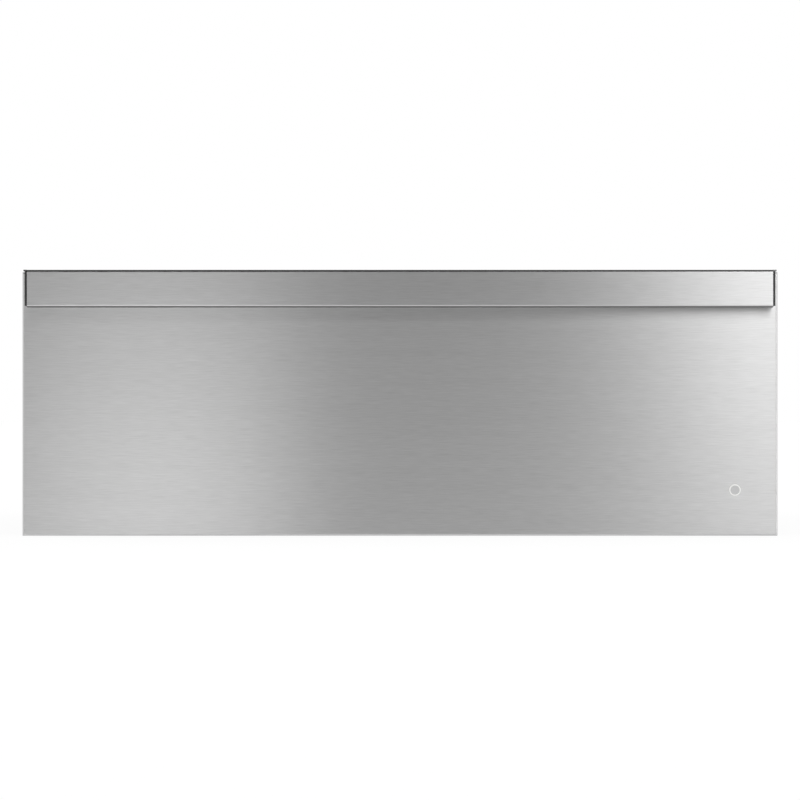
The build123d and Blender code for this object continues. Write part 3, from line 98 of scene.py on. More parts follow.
def brushed_stainless(name, bends=None):
    """Stainless sheet brushed along its length: fine level lines, and lights drawn out across them.

    Along a handle's long bends the sheet is painted dark grey: painted shade and a painted dark reflection.
    They are given as the height that the lower bend ends at, the height that the upper one starts at, and how
    far back it goes.
    """
    material = new_material(name)
    where = add_node(material, "TexCoord")
    # real lines lie 0.2 mm apart, too fine to show, so they are drawn 0.8 mm apart, in bands of 6 mm
    line_scale = (1 / (18 * mm), 1 / (0.8 * mm), 1 / (0.8 * mm))
    band_scale = (1 / (200 * mm), 1 / (6 * mm), 1 / (6 * mm))
    line_place = add_node(
        material, "Mapping", values={"Scale": line_scale}, links={"Vector": (where, "Object")}
    )
    band_place = add_node(
        material, "Mapping", values={"Scale": band_scale}, links={"Vector": (where, "Object")}
    )
    lines = add_node(
        material, "TexNoise", values={"Scale": 1.0, "Detail": 3.0}, links={"Vector": (line_place, "Vector")}
    )
    bands = add_node(
        material, "TexNoise", values={"Scale": 1.0, "Detail": 2.0}, links={"Vector": (band_place, "Vector")}
    )
    grain = add_node(
        material, "Mix", {"data_type": "FLOAT"}, {"Factor": 0.2}, {"A": (lines, "Fac"), "B": (bands, "Fac")}
    )
    colour = add_node(
        material,
        "ValToRGB",
        {"stops": [(0.3, "#bebebe"), (0.7, "#cbcbcb")]},
        links={"Fac": (grain, "Result")},
    )
    tone = (colour, "Color")
    if bends:
        lower_end, upper_start, upper_depth = bends
        blur = 0.2 * mm
        spot = add_node(material, "SeparateXYZ", links={"Vector": (where, "Object")})
        under = add_node(material, "Math", {"operation": "SUBTRACT"}, {0: lower_end}, {1: (spot, "Z")})
        over = add_node(material, "Math", {"operation": "SUBTRACT"}, {1: upper_start}, {0: (spot, "Z")})
        ahead = add_node(material, "Math", {"operation": "SUBTRACT"}, {0: upper_depth}, {1: (spot, "Y")})
        upper = add_node(
            material, "Math", {"operation": "MINIMUM"}, links={0: (over, "Value"), 1: (ahead, "Value")}
        )
        either = add_node(
            material, "Math", {"operation": "MAXIMUM"}, links={0: (under, "Value"), 1: (upper, "Value")}
        )
        painted_shade_mask = add_node(
            material,
            "MapRange",
            values={"From Min": -blur, "From Max": blur},
            links={"Value": (either, "Value")},
        )
        # sockets 6 and 7 of a Mix node take its two colours, and output 2 gives the mixed one
        # the dark grey on the bends is painted shade and a painted dark reflection, not a tone of the sheet
        both = add_node(
            material,
            "Mix",
            {"data_type": "RGBA"},
            {7: paint("#6c6c6c")},
            {0: (painted_shade_mask, "Result"), 6: (colour, "Color")},
        )
        tone = (both, 2)
    gloss = add_node(
        material, "MapRange", values={"To Min": 0.30, "To Max": 0.31}, links={"Value": (grain, "Result")}
    )
    scratches = add_node(
        material, "Bump", values={"Strength": 0.15, "Distance": 0.003 * mm}, links={"Height": (lines, "Fac")}
    )
    # the tangent runs round X on every side, so each light is drawn out across the lines
    round_x = add_node(material, "Tangent", {"direction_type": "RADIAL", "axis": "X"})
    shader = add_node(
        material,
        "BsdfPrincipled",
        values={"Metallic": 1.0, "Anisotropic": 0.88},
        links={
            "Base Color": tone,
            "Roughness": (gloss, "Result"),
            "Normal": (scratches, "Normal"),
            "Tangent": (round_x, "Tangent"),
        },
    )
    add_node(material, "OutputMaterial", links={"Surface": (shader, "BSDF")})
    return material


def mill_stainless():
    """Stainless sheet as rolled: smooth and soft, with faint clouds left by the mill."""
    material = new_material("stainless_mill_finish")
    where = add_node(material, "TexCoord")
    cloud_scale = (1 / (70 * mm), 1 / (22 * mm), 1 / (22 * mm))
    rolled_scale = (1 / (50 * mm), 1 / (2 * mm), 1 / (2 * mm))
    cloud_place = add_node(
        material, "Mapping", values={"Scale": cloud_scale}, links={"Vector": (where, "Object")}
    )
    rolled_place = add_node(
        material, "Mapping", values={"Scale": rolled_scale}, links={"Vector": (where, "Object")}
    )
    clouds = add_node(
        material, "TexNoise", values={"Scale": 1.0, "Detail": 4.0}, links={"Vector": (cloud_place, "Vector")}
    )
    rolled = add_node(
        material, "TexNoise", values={"Scale": 1.0, "Detail": 2.0}, links={"Vector": (rolled_place, "Vector")}
    )
    colour = add_node(
        material, "ValToRGB", {"stops": [(0.3, "#bdbdbb"), (0.7, "#cbcbc9")]}, links={"Fac": (clouds, "Fac")}
    )
    gloss = add_node(
        material, "MapRange", values={"To Min": 0.24, "To Max": 0.36}, links={"Value": (clouds, "Fac")}
    )
    skin = add_node(
        material, "Bump", values={"Strength": 0.5, "Distance": 0.01 * mm}, links={"Height": (rolled, "Fac")}
    )
    shader = add_node(
        material,
        "BsdfPrincipled",
        values={"Metallic": 1.0},
        links={"Base Color": (colour, "Color"), "Roughness": (gloss, "Result"), "Normal": (skin, "Normal")},
    )
    add_node(material, "OutputMaterial", links={"Surface": (shader, "BSDF")})
    return material


def galvanized_sheet():
    """Hot-dip galvanized steel: crystals about 8 mm across, each barely lighter or darker."""
    material = new_material("steel_hot_dip_galvanized")
    where = add_node(material, "TexCoord")
    crystals = add_node(
        material,
        "TexVoronoi",
        values={"Scale": 1 / (8 * mm), "Randomness": 1.0},
        links={"Vector": (where, "Object")},
    )
    grit = add_node(
        material,
        "TexNoise",
        values={"Scale": 1 / (1.6 * mm), "Detail": 3.0},
        links={"Vector": (where, "Object")},
    )
    colour = add_node(
        material,
        "ValToRGB",
        {"stops": [(0.15, "#acafb0"), (0.5, "#b3b6b7"), (0.85, "#bbbdbe")]},
        links={"Fac": (crystals, "Color")},
    )
    gloss = add_node(
        material, "MapRange", values={"To Min": 0.40, "To Max": 0.47}, links={"Value": (crystals, "Color")}
    )
    skin = add_node(
        material, "Bump", values={"Strength": 0.4, "Distance": 0.02 * mm}, links={"Height": (grit, "Fac")}
    )
    shader = add_node(
        material,
        "BsdfPrincipled",
        values={"Metallic": 1.0},
        links={"Base Color": (colour, "Color"), "Roughness": (gloss, "Result"), "Normal": (skin, "Normal")},
    )
    add_node(material, "OutputMaterial", links={"Surface": (shader, "BSDF")})
    return material


def aluminized_sheet():
    """Aluminized steel: a bright, slightly streaked coat that throws the heat back."""
    material = new_material("steel_aluminized")
    where = add_node(material, "TexCoord")
    streak_scale = (1 / (33 * mm), 1 / (4.5 * mm), 1 / (4.5 * mm))
    streak_place = add_node(
        material, "Mapping", values={"Scale": streak_scale}, links={"Vector": (where, "Object")}
    )
    streaks = add_node(
        material, "TexNoise", values={"Scale": 1.0, "Detail": 4.0}, links={"Vector": (streak_place, "Vector")}
    )
    colour = add_node(
        material, "ValToRGB", {"stops": [(0.3, "#c4c5c6"), (0.7, "#d6d7d7")]}, links={"Fac": (streaks, "Fac")}
    )
    gloss = add_node(
        material, "MapRange", values={"To Min": 0.18, "To Max": 0.30}, links={"Value": (streaks, "Fac")}
    )
    skin = add_node(
        material, "Bump", values={"Strength": 0.4, "Distance": 0.02 * mm}, links={"Height": (streaks, "Fac")}
    )
    shader = add_node(
        material,
        "BsdfPrincipled",
        values={"Metallic": 1.0},
        links={"Base Color": (colour, "Color"), "Roughness": (gloss, "Result"), "Normal": (skin, "Normal")},
    )
    add_node(material, "OutputMaterial", links={"Surface": (shader, "BSDF")})
    return material


def zinc_plate(name, dark, light, smooth, rough):
    """Zinc-plated steel: a soft patchy shine from the bath, patches about 17 mm across."""
    material = new_material(name)
    where = add_node(material, "TexCoord")
    patches = add_node(
        material,
        "TexNoise",
        values={"Scale": 1 / (17 * mm), "Detail": 5.0},
        links={"Vector": (where, "Object")},
    )
    colour = add_node(
        material, "ValToRGB", {"stops": [(0.3, dark), (0.7, light)]}, links={"Fac": (patches, "Fac")}
    )
    gloss = add_node(
        material, "MapRange", values={"To Min": smooth, "To Max": rough}, links={"Value": (patches, "Fac")}
    )
    skin = add_node(
        material, "Bump", values={"Strength": 0.5, "Distance": 0.01 * mm}, links={"Height": (patches, "Fac")}
    )
    shader = add_node(
        material,
        "BsdfPrincipled",
        values={"Metallic": 1.0},
        links={"Base Color": (colour, "Color"), "Roughness": (gloss, "Result"), "Normal": (skin, "Normal")},
    )
    add_node(material, "OutputMaterial", links={"Surface": (shader, "BSDF")})
    return material


def chromed_wire():
    """Bright chrome plate on drawn wire: nearly a mirror, with a trace of the drawing lines."""
    material = new_material("steel_wire_chromed")
    where = add_node(material, "TexCoord")
    drawn = add_node(
        material,
        "TexNoise",
        values={"Scale": 1 / (4 * mm), "Detail": 3.0},
        links={"Vector": (where, "Object")},
    )
    colour = add_node(
        material, "ValToRGB", {"stops": [(0.2, "#d2d3d5"), (0.8, "#dcdddf")]}, links={"Fac": (drawn, "Fac")}
    )
    gloss = add_node(
        material, "MapRange", values={"To Min": 0.05, "To Max": 0.14}, links={"Value": (drawn, "Fac")}
    )
    shader = add_node(
        material,
        "BsdfPrincipled",
        values={"Metallic": 1.0},
        links={"Base Color": (colour, "Color"), "Roughness": (gloss, "Result")},
    )
    add_node(material, "OutputMaterial", links={"Surface": (shader, "BSDF")})
    return material


def moulded_black(name, dark, light, smooth, rough, grit_size, grit_depth):
    """Black moulded plastic: an even dark tone with the fine grit of the mould."""
    material = new_material(name)
    where = add_node(material, "TexCoord")
    grit = add_node(
        material,
        "TexNoise",
        values={"Scale": 1 / grit_size, "Detail": 2.0},
        links={"Vector": (where, "Object")},
    )
    colour = add_node(
        material, "ValToRGB", {"stops": [(0.3, dark), (0.7, light)]}, links={"Fac": (grit, "Fac")}
    )
    gloss = add_node(
        material, "MapRange", values={"To Min": smooth, "To Max": rough}, links={"Value": (grit, "Fac")}
    )
    skin = add_node(
        material, "Bump", values={"Strength": 0.5, "Distance": grit_depth}, links={"Height": (grit, "Fac")}
    )
    shader = add_node(
        material,
        "BsdfPrincipled",
        values={"Metallic": 0.0, "IOR": 1.52},
        links={"Base Color": (colour, "Color"), "Roughness": (gloss, "Result"), "Normal": (skin, "Normal")},
    )
    add_node(material, "OutputMaterial", links={"Surface": (shader, "BSDF")})
    return material


def smoked_acrylic():
    """Smoked acrylic window: dark, clear and glossy, with the display behind it barely seen."""
    material = new_material("acrylic_smoked")
    where = add_node(material, "TexCoord")
    tint = add_node(
        material,
        "TexNoise",
        values={"Scale": 1 / (50 * mm), "Detail": 1.0},
        links={"Vector": (where, "Object")},
    )
    colour = add_node(
        material, "ValToRGB", {"stops": [(0.3, "#141518"), (0.7, "#1b1c20")]}, links={"Fac": (tint, "Fac")}
    )
    gloss = add_node(
        material, "MapRange", values={"To Min": 0.04, "To Max": 0.08}, links={"Value": (tint, "Fac")}
    )
    shader = add_node(
        material,
        "BsdfPrincipled",
        values={"Metallic": 0.0, "IOR": 1.49, "Transmission Weight": 0.7},
        links={"Base Color": (colour, "Color"), "Roughness": (gloss, "Result")},
    )
    add_node(material, "OutputMaterial", links={"Surface": (shader, "BSDF")})
    return material


def solder_mask():
    """Glass-epoxy board under green solder mask, with the copper tracks showing through."""
    material = new_material("circuit_board_green")
    where = add_node(material, "TexCoord")
    # tracks are drawn about 3 mm apart, coarser than real ones, which would not show
    tracks = add_node(
        material,
        "TexBrick",
        values={
            "Scale": 1 / (6 * mm),
            "Mortar Size": 0.09,
            "Color1": paint("#0f4a2a"),
            "Color2": paint("#12522f"),
            "Mortar": paint("#2b7a48"),
        },
        links={"Vector": (where, "Object")},
    )
    gloss = add_node(
        material, "MapRange", values={"To Min": 0.32, "To Max": 0.22}, links={"Value": (tracks, "Fac")}
    )
    raised = add_node(
        material, "Bump", values={"Strength": 0.5, "Distance": 0.04 * mm}, links={"Height": (tracks, "Fac")}
    )
    shader = add_node(
        material,
        "BsdfPrincipled",
        values={"Metallic": 0.0, "IOR": 1.5, "Coat Weight": 0.5},
        links={"Base Color": (tracks, "Color"), "Roughness": (gloss, "Result"), "Normal": (raised, "Normal")},
    )
    add_node(material, "OutputMaterial", links={"Surface": (shader, "BSDF")})
    return material


def oxidized_sheath():
    """Nickel-alloy heater tube, darkened by heat to a mottled brown grey."""
    material = new_material("nickel_alloy_heat_darkened")
    where = add_node(material, "TexCoord")
    mottle = add_node(
        material,
        "TexNoise",
        values={"Scale": 1 / (11 * mm), "Detail": 6.0},
        links={"Vector": (where, "Object")},
    )
    colour = add_node(
        material,
        "ValToRGB",
        {"stops": [(0.3, "#57504a"), (0.5, "#6d665f"), (0.7, "#7b7470")]},
        links={"Fac": (mottle, "Fac")},
    )
    gloss = add_node(
        material, "MapRange", values={"To Min": 0.38, "To Max": 0.58}, links={"Value": (mottle, "Fac")}
    )
    scale_crust = add_node(
        material, "Bump", values={"Strength": 0.5, "Distance": 0.03 * mm}, links={"Height": (mottle, "Fac")}
    )
    shader = add_node(
        material,
        "BsdfPrincipled",
        values={"Metallic": 1.0},
        links={
            "Base Color": (colour, "Color"),
            "Roughness": (gloss, "Result"),
            "Normal": (scale_crust, "Normal"),
        },
    )
    add_node(material, "OutputMaterial", links={"Surface": (shader, "BSDF")})
    return material


def steatite():
    """Unglazed steatite: off-white, dense and dull, with fine specks."""
    material = new_material("steatite_unglazed")
    where = add_node(material, "TexCoord")
    specks = add_node(
        material,
        "TexNoise",
        values={"Scale": 1 / (1.1 * mm), "Detail": 2.0},
        links={"Vector": (where, "Object")},
    )
    colour = add_node(
        material,
        "ValToRGB",
        {"stops": [(0.25, "#d8d2c2"), (0.5, "#e9e4d8"), (0.8, "#efebe0")]},
        links={"Fac": (specks, "Fac")},
    )
    gloss = add_node(
        material, "MapRange", values={"To Min": 0.55, "To Max": 0.7}, links={"Value": (specks, "Fac")}
    )
    shader = add_node(
        material,
        "BsdfPrincipled",
        values={"Metallic": 0.0, "IOR": 1.55},
        links={"Base Color": (colour, "Color"), "Roughness": (gloss, "Result")},
    )
    add_node(material, "OutputMaterial", links={"Surface": (shader, "BSDF")})
    return material


def moulded_rubber(name, dark, light, smooth, rough):
    """Moulded rubber or silicone: matt, a little dusty, with a soft skin."""
    material = new_material(name)
    where = add_node(material, "TexCoord")
    dust = add_node(
        material,
        "TexNoise",
        values={"Scale": 1 / (5.5 * mm), "Detail": 5.0},
        links={"Vector": (where, "Object")},
    )
    colour = add_node(
        material, "ValToRGB", {"stops": [(0.35, dark), (0.7, light)]}, links={"Fac": (dust, "Fac")}
    )
    gloss = add_node(
        material, "MapRange", values={"To Min": smooth, "To Max": rough}, links={"Value": (dust, "Fac")}
    )
    skin = add_node(
        material, "Bump", values={"Strength": 0.4, "Distance": 0.03 * mm}, links={"Height": (dust, "Fac")}
    )
    shader = add_node(
        material,
        "BsdfPrincipled",
        values={"Metallic": 0.0, "IOR": 1.43},
        links={"Base Color": (colour, "Color"), "Roughness": (gloss, "Result"), "Normal": (skin, "Normal")},
    )
    add_node(material, "OutputMaterial", links={"Surface": (shader, "BSDF")})
    return material


def stone_wool():
    """Pressed stone wool: a dense mat of pale yellow-brown fibres, with painted shade that makes it darker in
    its folds.
    """
    material = new_material("stone_wool_pressed")
    where = add_node(material, "TexCoord")
    fold_scale = (1 / (8 * mm), 1 / (8 * mm), 1 / (2.6 * mm))
    fold_place = add_node(
        material, "Mapping", values={"Scale": fold_scale}, links={"Vector": (where, "Object")}
    )
    fibres = add_node(
        material,
        "TexNoise",
        values={"Scale": 1.0, "Detail": 8.0, "Roughness": 0.7, "Distortion": 1.2},
        links={"Vector": (fold_place, "Vector")},
    )
    # one noise makes both the colour and the bumps, so the tone varies at random and the hollows take a
    # painted shade
    colour = add_node(
        material,
        "ValToRGB",
        {"stops": [(0.3, "#a3935f"), (0.5, "#c8b988"), (0.7, "#ddd0a6")]},
        links={"Fac": (fibres, "Fac")},
    )
    gloss = add_node(
        material, "MapRange", values={"To Min": 1.0, "To Max": 0.85}, links={"Value": (fibres, "Fac")}
    )
    fleece = add_node(
        material, "Bump", values={"Strength": 0.9, "Distance": 0.6 * mm}, links={"Height": (fibres, "Fac")}
    )
    shader = add_node(
        material,
        "BsdfPrincipled",
        values={"Metallic": 0.0},
        links={"Base Color": (colour, "Color"), "Roughness": (gloss, "Result"), "Normal": (fleece, "Normal")},
    )
    add_node(material, "OutputMaterial", links={"Surface": (shader, "BSDF")})
    return material


def printed_ink():
    """Pad-printed ink on a button: flat warm white, a little uneven."""
    material = new_material("ink_white_printed")
    where = add_node(material, "TexCoord")
    grain = add_node(
        material,
        "TexNoise",
        values={"Scale": 1 / (0.4 * mm), "Detail": 2.0},
        links={"Vector": (where, "Object")},
    )
    colour = add_node(
        material, "ValToRGB", {"stops": [(0.3, "#dcdcd8"), (0.7, "#ecece8")]}, links={"Fac": (grain, "Fac")}
    )
    gloss = add_node(
        material, "MapRange", values={"To Min": 0.5, "To Max": 0.6}, links={"Value": (grain, "Fac")}
    )
    shader = add_node(
        material,
        "BsdfPrincipled",
        values={"Metallic": 0.0, "IOR": 1.5},
        links={"Base Color": (colour, "Color"), "Roughness": (gloss, "Result")},
    )
    add_node(material, "OutputMaterial", links={"Surface": (shader, "BSDF")})
    return material


def satin_disc_painted_rim():
    """Satin steel disc whose rim is painted white, a painted reflection that draws a fine bright ring on the
    front.
    """
    material = new_material("steel_satin_painted_rim")
    low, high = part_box("badge_disc")
    middle = ((low.x + high.x) / 2, low.y, (low.z + high.z) / 2)
    rim_share = 0.79  # of the disc's radius, where the painted white rim starts
    painted_rim_from = rim_share * (high.x - low.x) / 2
    where = add_node(material, "TexCoord")
    reach = add_node(material, "VectorMath", {"operation": "DISTANCE"}, {1: middle}, {0: (where, "Object")})
    rim = add_node(material, "Math", {"operation": "GREATER_THAN"}, {1: painted_rim_from}, {0: (reach, "Value")})
    bare = add_node(material, "Math", {"operation": "SUBTRACT"}, {0: 1.0}, {1: (rim, "Value")})
    grit = add_node(
        material,
        "TexNoise",
        values={"Scale": 1 / (0.6 * mm), "Detail": 2.0},
        links={"Vector": (where, "Object")},
    )
    steel = add_node(
        material, "ValToRGB", {"stops": [(0.3, "#c6c6c6"), (0.7, "#cfcfcf")]}, links={"Fac": (grit, "Fac")}
    )
    # the white on the rim is a painted reflection, standing for the bright ring of a polished edge
    painted_rim_white = add_node(
        material, "ValToRGB", {"stops": [(0.3, "#f3f3f1"), (0.7, "#f8f8f6")]}, links={"Fac": (grit, "Fac")}
    )
    colour = add_node(
        material,
        "Mix",
        {"data_type": "RGBA"},
        links={0: (rim, "Value"), 6: (steel, "Color"), 7: (painted_rim_white, "Color")},
    )
    gloss = add_node(
        material, "MapRange", values={"To Min": 0.5, "To Max": 0.56}, links={"Value": (grit, "Fac")}
    )
    shader = add_node(
        material,
        "BsdfPrincipled",
        links={"Base Color": (colour, 2), "Metallic": (bare, "Value"), "Roughness": (gloss, "Result")},
    )
    add_node(material, "OutputMaterial", links={"Surface": (shader, "BSDF")})
    return material


finishes = {
    "brushed_front": brushed_stainless("stainless_brushed_lengthwise"),
    "stainless_liner": mill_stainless(),
    "galvanized_case": galvanized_sheet(),
    "aluminized_reflector": aluminized_sheet(),
    "zinc_runner": zinc_plate("steel_zinc_clear", "#a9adb1", "#c3c6c9", 0.22, 0.36),
    "cage_steel": zinc_plate("steel_zinc_yellow_tint", "#b3ad98", "#cfcab6", 0.16, 0.28),
    "chrome_wire": chromed_wire(),
    "zinc_fasteners": zinc_plate("steel_zinc_blue_passivated", "#9ba1a8", "#bfc3c8", 0.2, 0.34),
    "black_plastic": moulded_black(
        "nylon_black_moulded", "#161617", "#1e1e1f", 0.42, 0.55, grit_size=0.5 * mm, grit_depth=0.03 * mm
    ),
    "black_gloss": moulded_black(
        "abs_black_polished", "#0d0d0e", "#121213", 0.1, 0.16, grit_size=2 * mm, grit_depth=0.004 * mm
    ),
    "smoked_lens": smoked_acrylic(),
    "circuit_board": solder_mask(),
    "heater_sheath": oxidized_sheath(),
    "white_ceramic": steatite(),
    "grey_silicone": moulded_rubber("silicone_grey_moulded", "#3a3a3b", "#4a4a4b", 0.52, 0.68),
    "black_rubber": moulded_rubber("rubber_black_moulded", "#1b1b1b", "#272727", 0.62, 0.78),
    "mineral_wool": stone_wool(),
}
button_ink = printed_ink()

for part in frame["record"]["subparts"]:
    mesh = nodes[part["node"]].data
    mesh.materials.clear()
    mesh.materials.append(finishes[part["material_slot"]])
nodes["badge_disc"].data.materials[0] = satin_disc_painted_rim()
handle_low, handle_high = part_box("handle")
# how much of the handle's two long bends is painted dark grey, as painted shade and a painted dark reflection
lower_bend_painted_shade = 1.3 * mm
upper_bend_painted_shade = 1.9 * mm
handle_painted_shade_bends = (
    handle_low.z + lower_bend_painted_shade,
    handle_high.z - upper_bend_painted_shade,
    handle_low.y + upper_bend_painted_shade,
)
nodes["handle"].data.materials[0] = brushed_stainless("stainless_brushed_painted_shade_bends", handle_painted_shade_bends)


# ---------------------------------------------------------------- modelling by hand


def clear_selection():
    """Leave nothing selected, so an operator acts only on the new piece."""
    bpy.ops.object.select_all(action="DESELECT")


def put_place_into_mesh(piece):
    """Move the piece's place, turn and size into its mesh."""
    clear_selection()
    piece.select_set(True)
    bpy.context.view_layer.objects.active = piece
    bpy.ops.object.transform_apply(location=True, rotation=True, scale=True)


def start_piece(name):
    """Name the primitive that was just added, put its place into its mesh and open it with nothing picked."""
    piece = bpy.context.object
    piece.name = name
    piece.data.name = name
    put_place_into_mesh(piece)
    bpy.ops.object.mode_set(mode="EDIT")
    bpy.ops.mesh.select_all(action="DESELECT")
    return piece


def pick(piece, kind, wanted):
    """Select the faces (FACE) or edges (EDGE) of the open piece that a test accepts, and no others."""
    bpy.ops.mesh.select_mode(type=kind)
    bpy.ops.mesh.select_all(action="DESELECT")
    form = bmesh.from_edit_mesh(piece.data)
    for element in form.faces if kind == "FACE" else form.edges:
        element.select_set(bool(wanted(element)))
    form.select_flush_mode()
    bmesh.update_edit_mesh(piece.data)


def close_piece():
    """Leave edit mode with every face of the open piece looking outwards."""
    bpy.ops.mesh.select_all(action="SELECT")
    bpy.ops.mesh.normals_make_consistent(inside=False)
    bpy.ops.object.mode_set(mode="OBJECT")


def carve(piece, cutter):
    """Cut one piece away from another and throw the cutter away."""
    clear_selection()
    bpy.context.view_layer.objects.active = piece
    cut = piece.modifiers.new("cut", "BOOLEAN")
    cut.operation = "DIFFERENCE"
    cut.solver = "MANIFOLD"
    cut.object = cutter
    bpy.ops.object.modifier_apply(modifier=cut.name)
    bpy.data.objects.remove(cutter)


def fit_out(piece, body, slot, *replaced, finish=None, smooth_angle=40):
    """Give a piece its shading, its material (the finish given, else the slot's one) and its body, and hide
    the CAD nodes that it stands for.
    """
    put_place_into_mesh(piece)
    bpy.ops.object.shade_smooth_by_angle(angle=math.radians(smooth_angle))
    piece.data.materials.clear()
    piece.data.materials.append(finish or finishes[slot])
    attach(piece, body)
    if replaced:
        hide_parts(*replaced)


def separate_solids(node):
    """The points of each separate solid in a CAD node."""
    form = bmesh.new()
    form.from_mesh(nodes[node].data)
    bmesh.ops.remove_doubles(form, verts=form.verts, dist=0.001 * mm)
    solids = []
    waiting = set(form.verts)
    while waiting:
        reached = [waiting.pop()]
        for point in reached:
            for edge in point.link_edges:
                other = edge.other_vert(point)
                if other in waiting:
                    waiting.remove(other)
                    reached.append(other)
        solids.append([point.co.copy() for point in reached])
    form.free()

    def place(points):
        """The middle of a solid's points, to a tenth of a millimetre."""
        return [round(sum(co[i] for co in points) / len(points), 4) for i in range(3)]

    # from left to right, front to rear and low to high, whatever order the walk found them in
    return sorted(solids, key=place)


def corners(points):
    """The low and high corners of the box round some points."""
    low = Vector([min(co[i] for co in points) for i in range(3)])
    high = Vector([max(co[i] for co in points) for i in range(3)])
    return low, high


# ---------------------------------------------------------------- door gasket


def make_gasket():
    """Silicone ring: a flat foot on the liner and a round bulb that closes on the frame."""
    low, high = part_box("drawer_gasket")
    middle = (low + high) / 2
    ring_width = 6.0 * mm
    foot_thick = 1.0 * mm
    bulb_side = 0.9 * mm
    bulb_round = 1.5 * mm
    clear_selection()
    bpy.ops.mesh.primitive_plane_add(
        size=1, location=(middle.x, low.y, middle.z), rotation=(-math.pi / 2, 0, 0)
    )
    bpy.context.object.scale = (high.x - low.x, high.z - low.z, 1)
    gasket = start_piece("door_gasket_bulb")
    bpy.ops.mesh.select_all(action="SELECT")
    bpy.ops.mesh.bevel(offset=2 * ring_width, segments=10, affect="VERTICES")
    bpy.ops.mesh.select_all(action="SELECT")
    bpy.ops.mesh.inset(thickness=ring_width)
    bpy.ops.mesh.delete(type="FACE")
    bpy.ops.mesh.select_all(action="SELECT")
    bpy.ops.mesh.extrude_region_move(TRANSFORM_OT_translate={"value": (0, foot_thick, 0)})
    pick(gasket, "FACE", lambda face: face.calc_center_median().y > low.y + 0.9 * foot_thick)
    bpy.ops.mesh.inset(thickness=bulb_side)
    bpy.ops.mesh.extrude_region_move(TRANSFORM_OT_translate={"value": (0, high.y - low.y - foot_thick, 0)})
    top = high.y - 0.1 * mm
    pick(
        gasket,
        "EDGE",
        lambda edge: all(end.co.y > top for end in edge.verts)
        and any(face.calc_center_median().y < top for face in edge.link_faces),
    )
    bpy.ops.mesh.bevel(offset=bulb_round, segments=5, profile=0.5)
    close_piece()
    fit_out(gasket, "drawer", "grey_silicone", "drawer_gasket", smooth_angle=50)


# ---------------------------------------------------------------- insulation


def wool_slab(name, low, high):
    """Pressed wool slab inside a box: soft edges and shallow hollows in its faces."""
    clearance = 0.3 * mm
    edge_round = 1.2 * mm
    hollow_size = 30 * mm
    hollow_depth = 0.5 * mm
    low = low + Vector((clearance, clearance, clearance))
    high = high - Vector((clearance, clearance, clearance))
    clear_selection()
    bpy.ops.mesh.primitive_cube_add(size=1, location=(low + high) / 2)
    bpy.context.object.scale = high - low
    slab = start_piece(name)
    bpy.ops.mesh.select_all(action="SELECT")
    # twenty squares along each side
    bpy.ops.mesh.subdivide(number_cuts=9)
    bpy.ops.mesh.subdivide(number_cuts=1)

    def on_box_edge(edge):
        """Whether an edge lies along one of the box's twelve edges."""
        sides = 0
        for i in range(3):
            off_side = max(min(abs(end.co[i] - low[i]), abs(end.co[i] - high[i])) for end in edge.verts)
            if off_side < 0.01 * mm:
                sides += 1
        return sides == 2

    pick(slab, "EDGE", on_box_edge)
    bpy.ops.mesh.bevel(offset=edge_round, segments=2, profile=0.5)
    close_piece()
    # the hollows are pressed in and never out
    cloud = bpy.data.textures.new(name + "_hollows", "CLOUDS")
    cloud.noise_scale = hollow_size
    press = slab.modifiers.new("press", "DISPLACE")
    press.texture = cloud
    press.texture_coords = "LOCAL"
    press.strength = hollow_depth
    press.mid_level = 1.0
    bpy.ops.object.modifier_apply(modifier=press.name)
    return slab


def bore(piece, centre, direction, radius, length):
    """Drill a round hole through a piece, both ways from a centre."""
    bore_sides = 24
    clear_selection()
    bpy.ops.mesh.primitive_cylinder_add(
        vertices=bore_sides, radius=radius, depth=2 * length, location=centre
    )
    cutter = bpy.context.object
    cutter.rotation_euler = Vector(direction).to_track_quat("Z", "Y").to_euler()
    put_place_into_mesh(cutter)
    carve(piece, cutter)


def join_pieces(pieces):
    """Make one piece of several, the first of which keeps its name."""
    clear_selection()
    for piece in pieces:
        piece.select_set(True)
    bpy.context.view_layer.objects.active = pieces[0]
    if len(pieces) > 1:
        bpy.ops.object.join()
    return pieces[0]


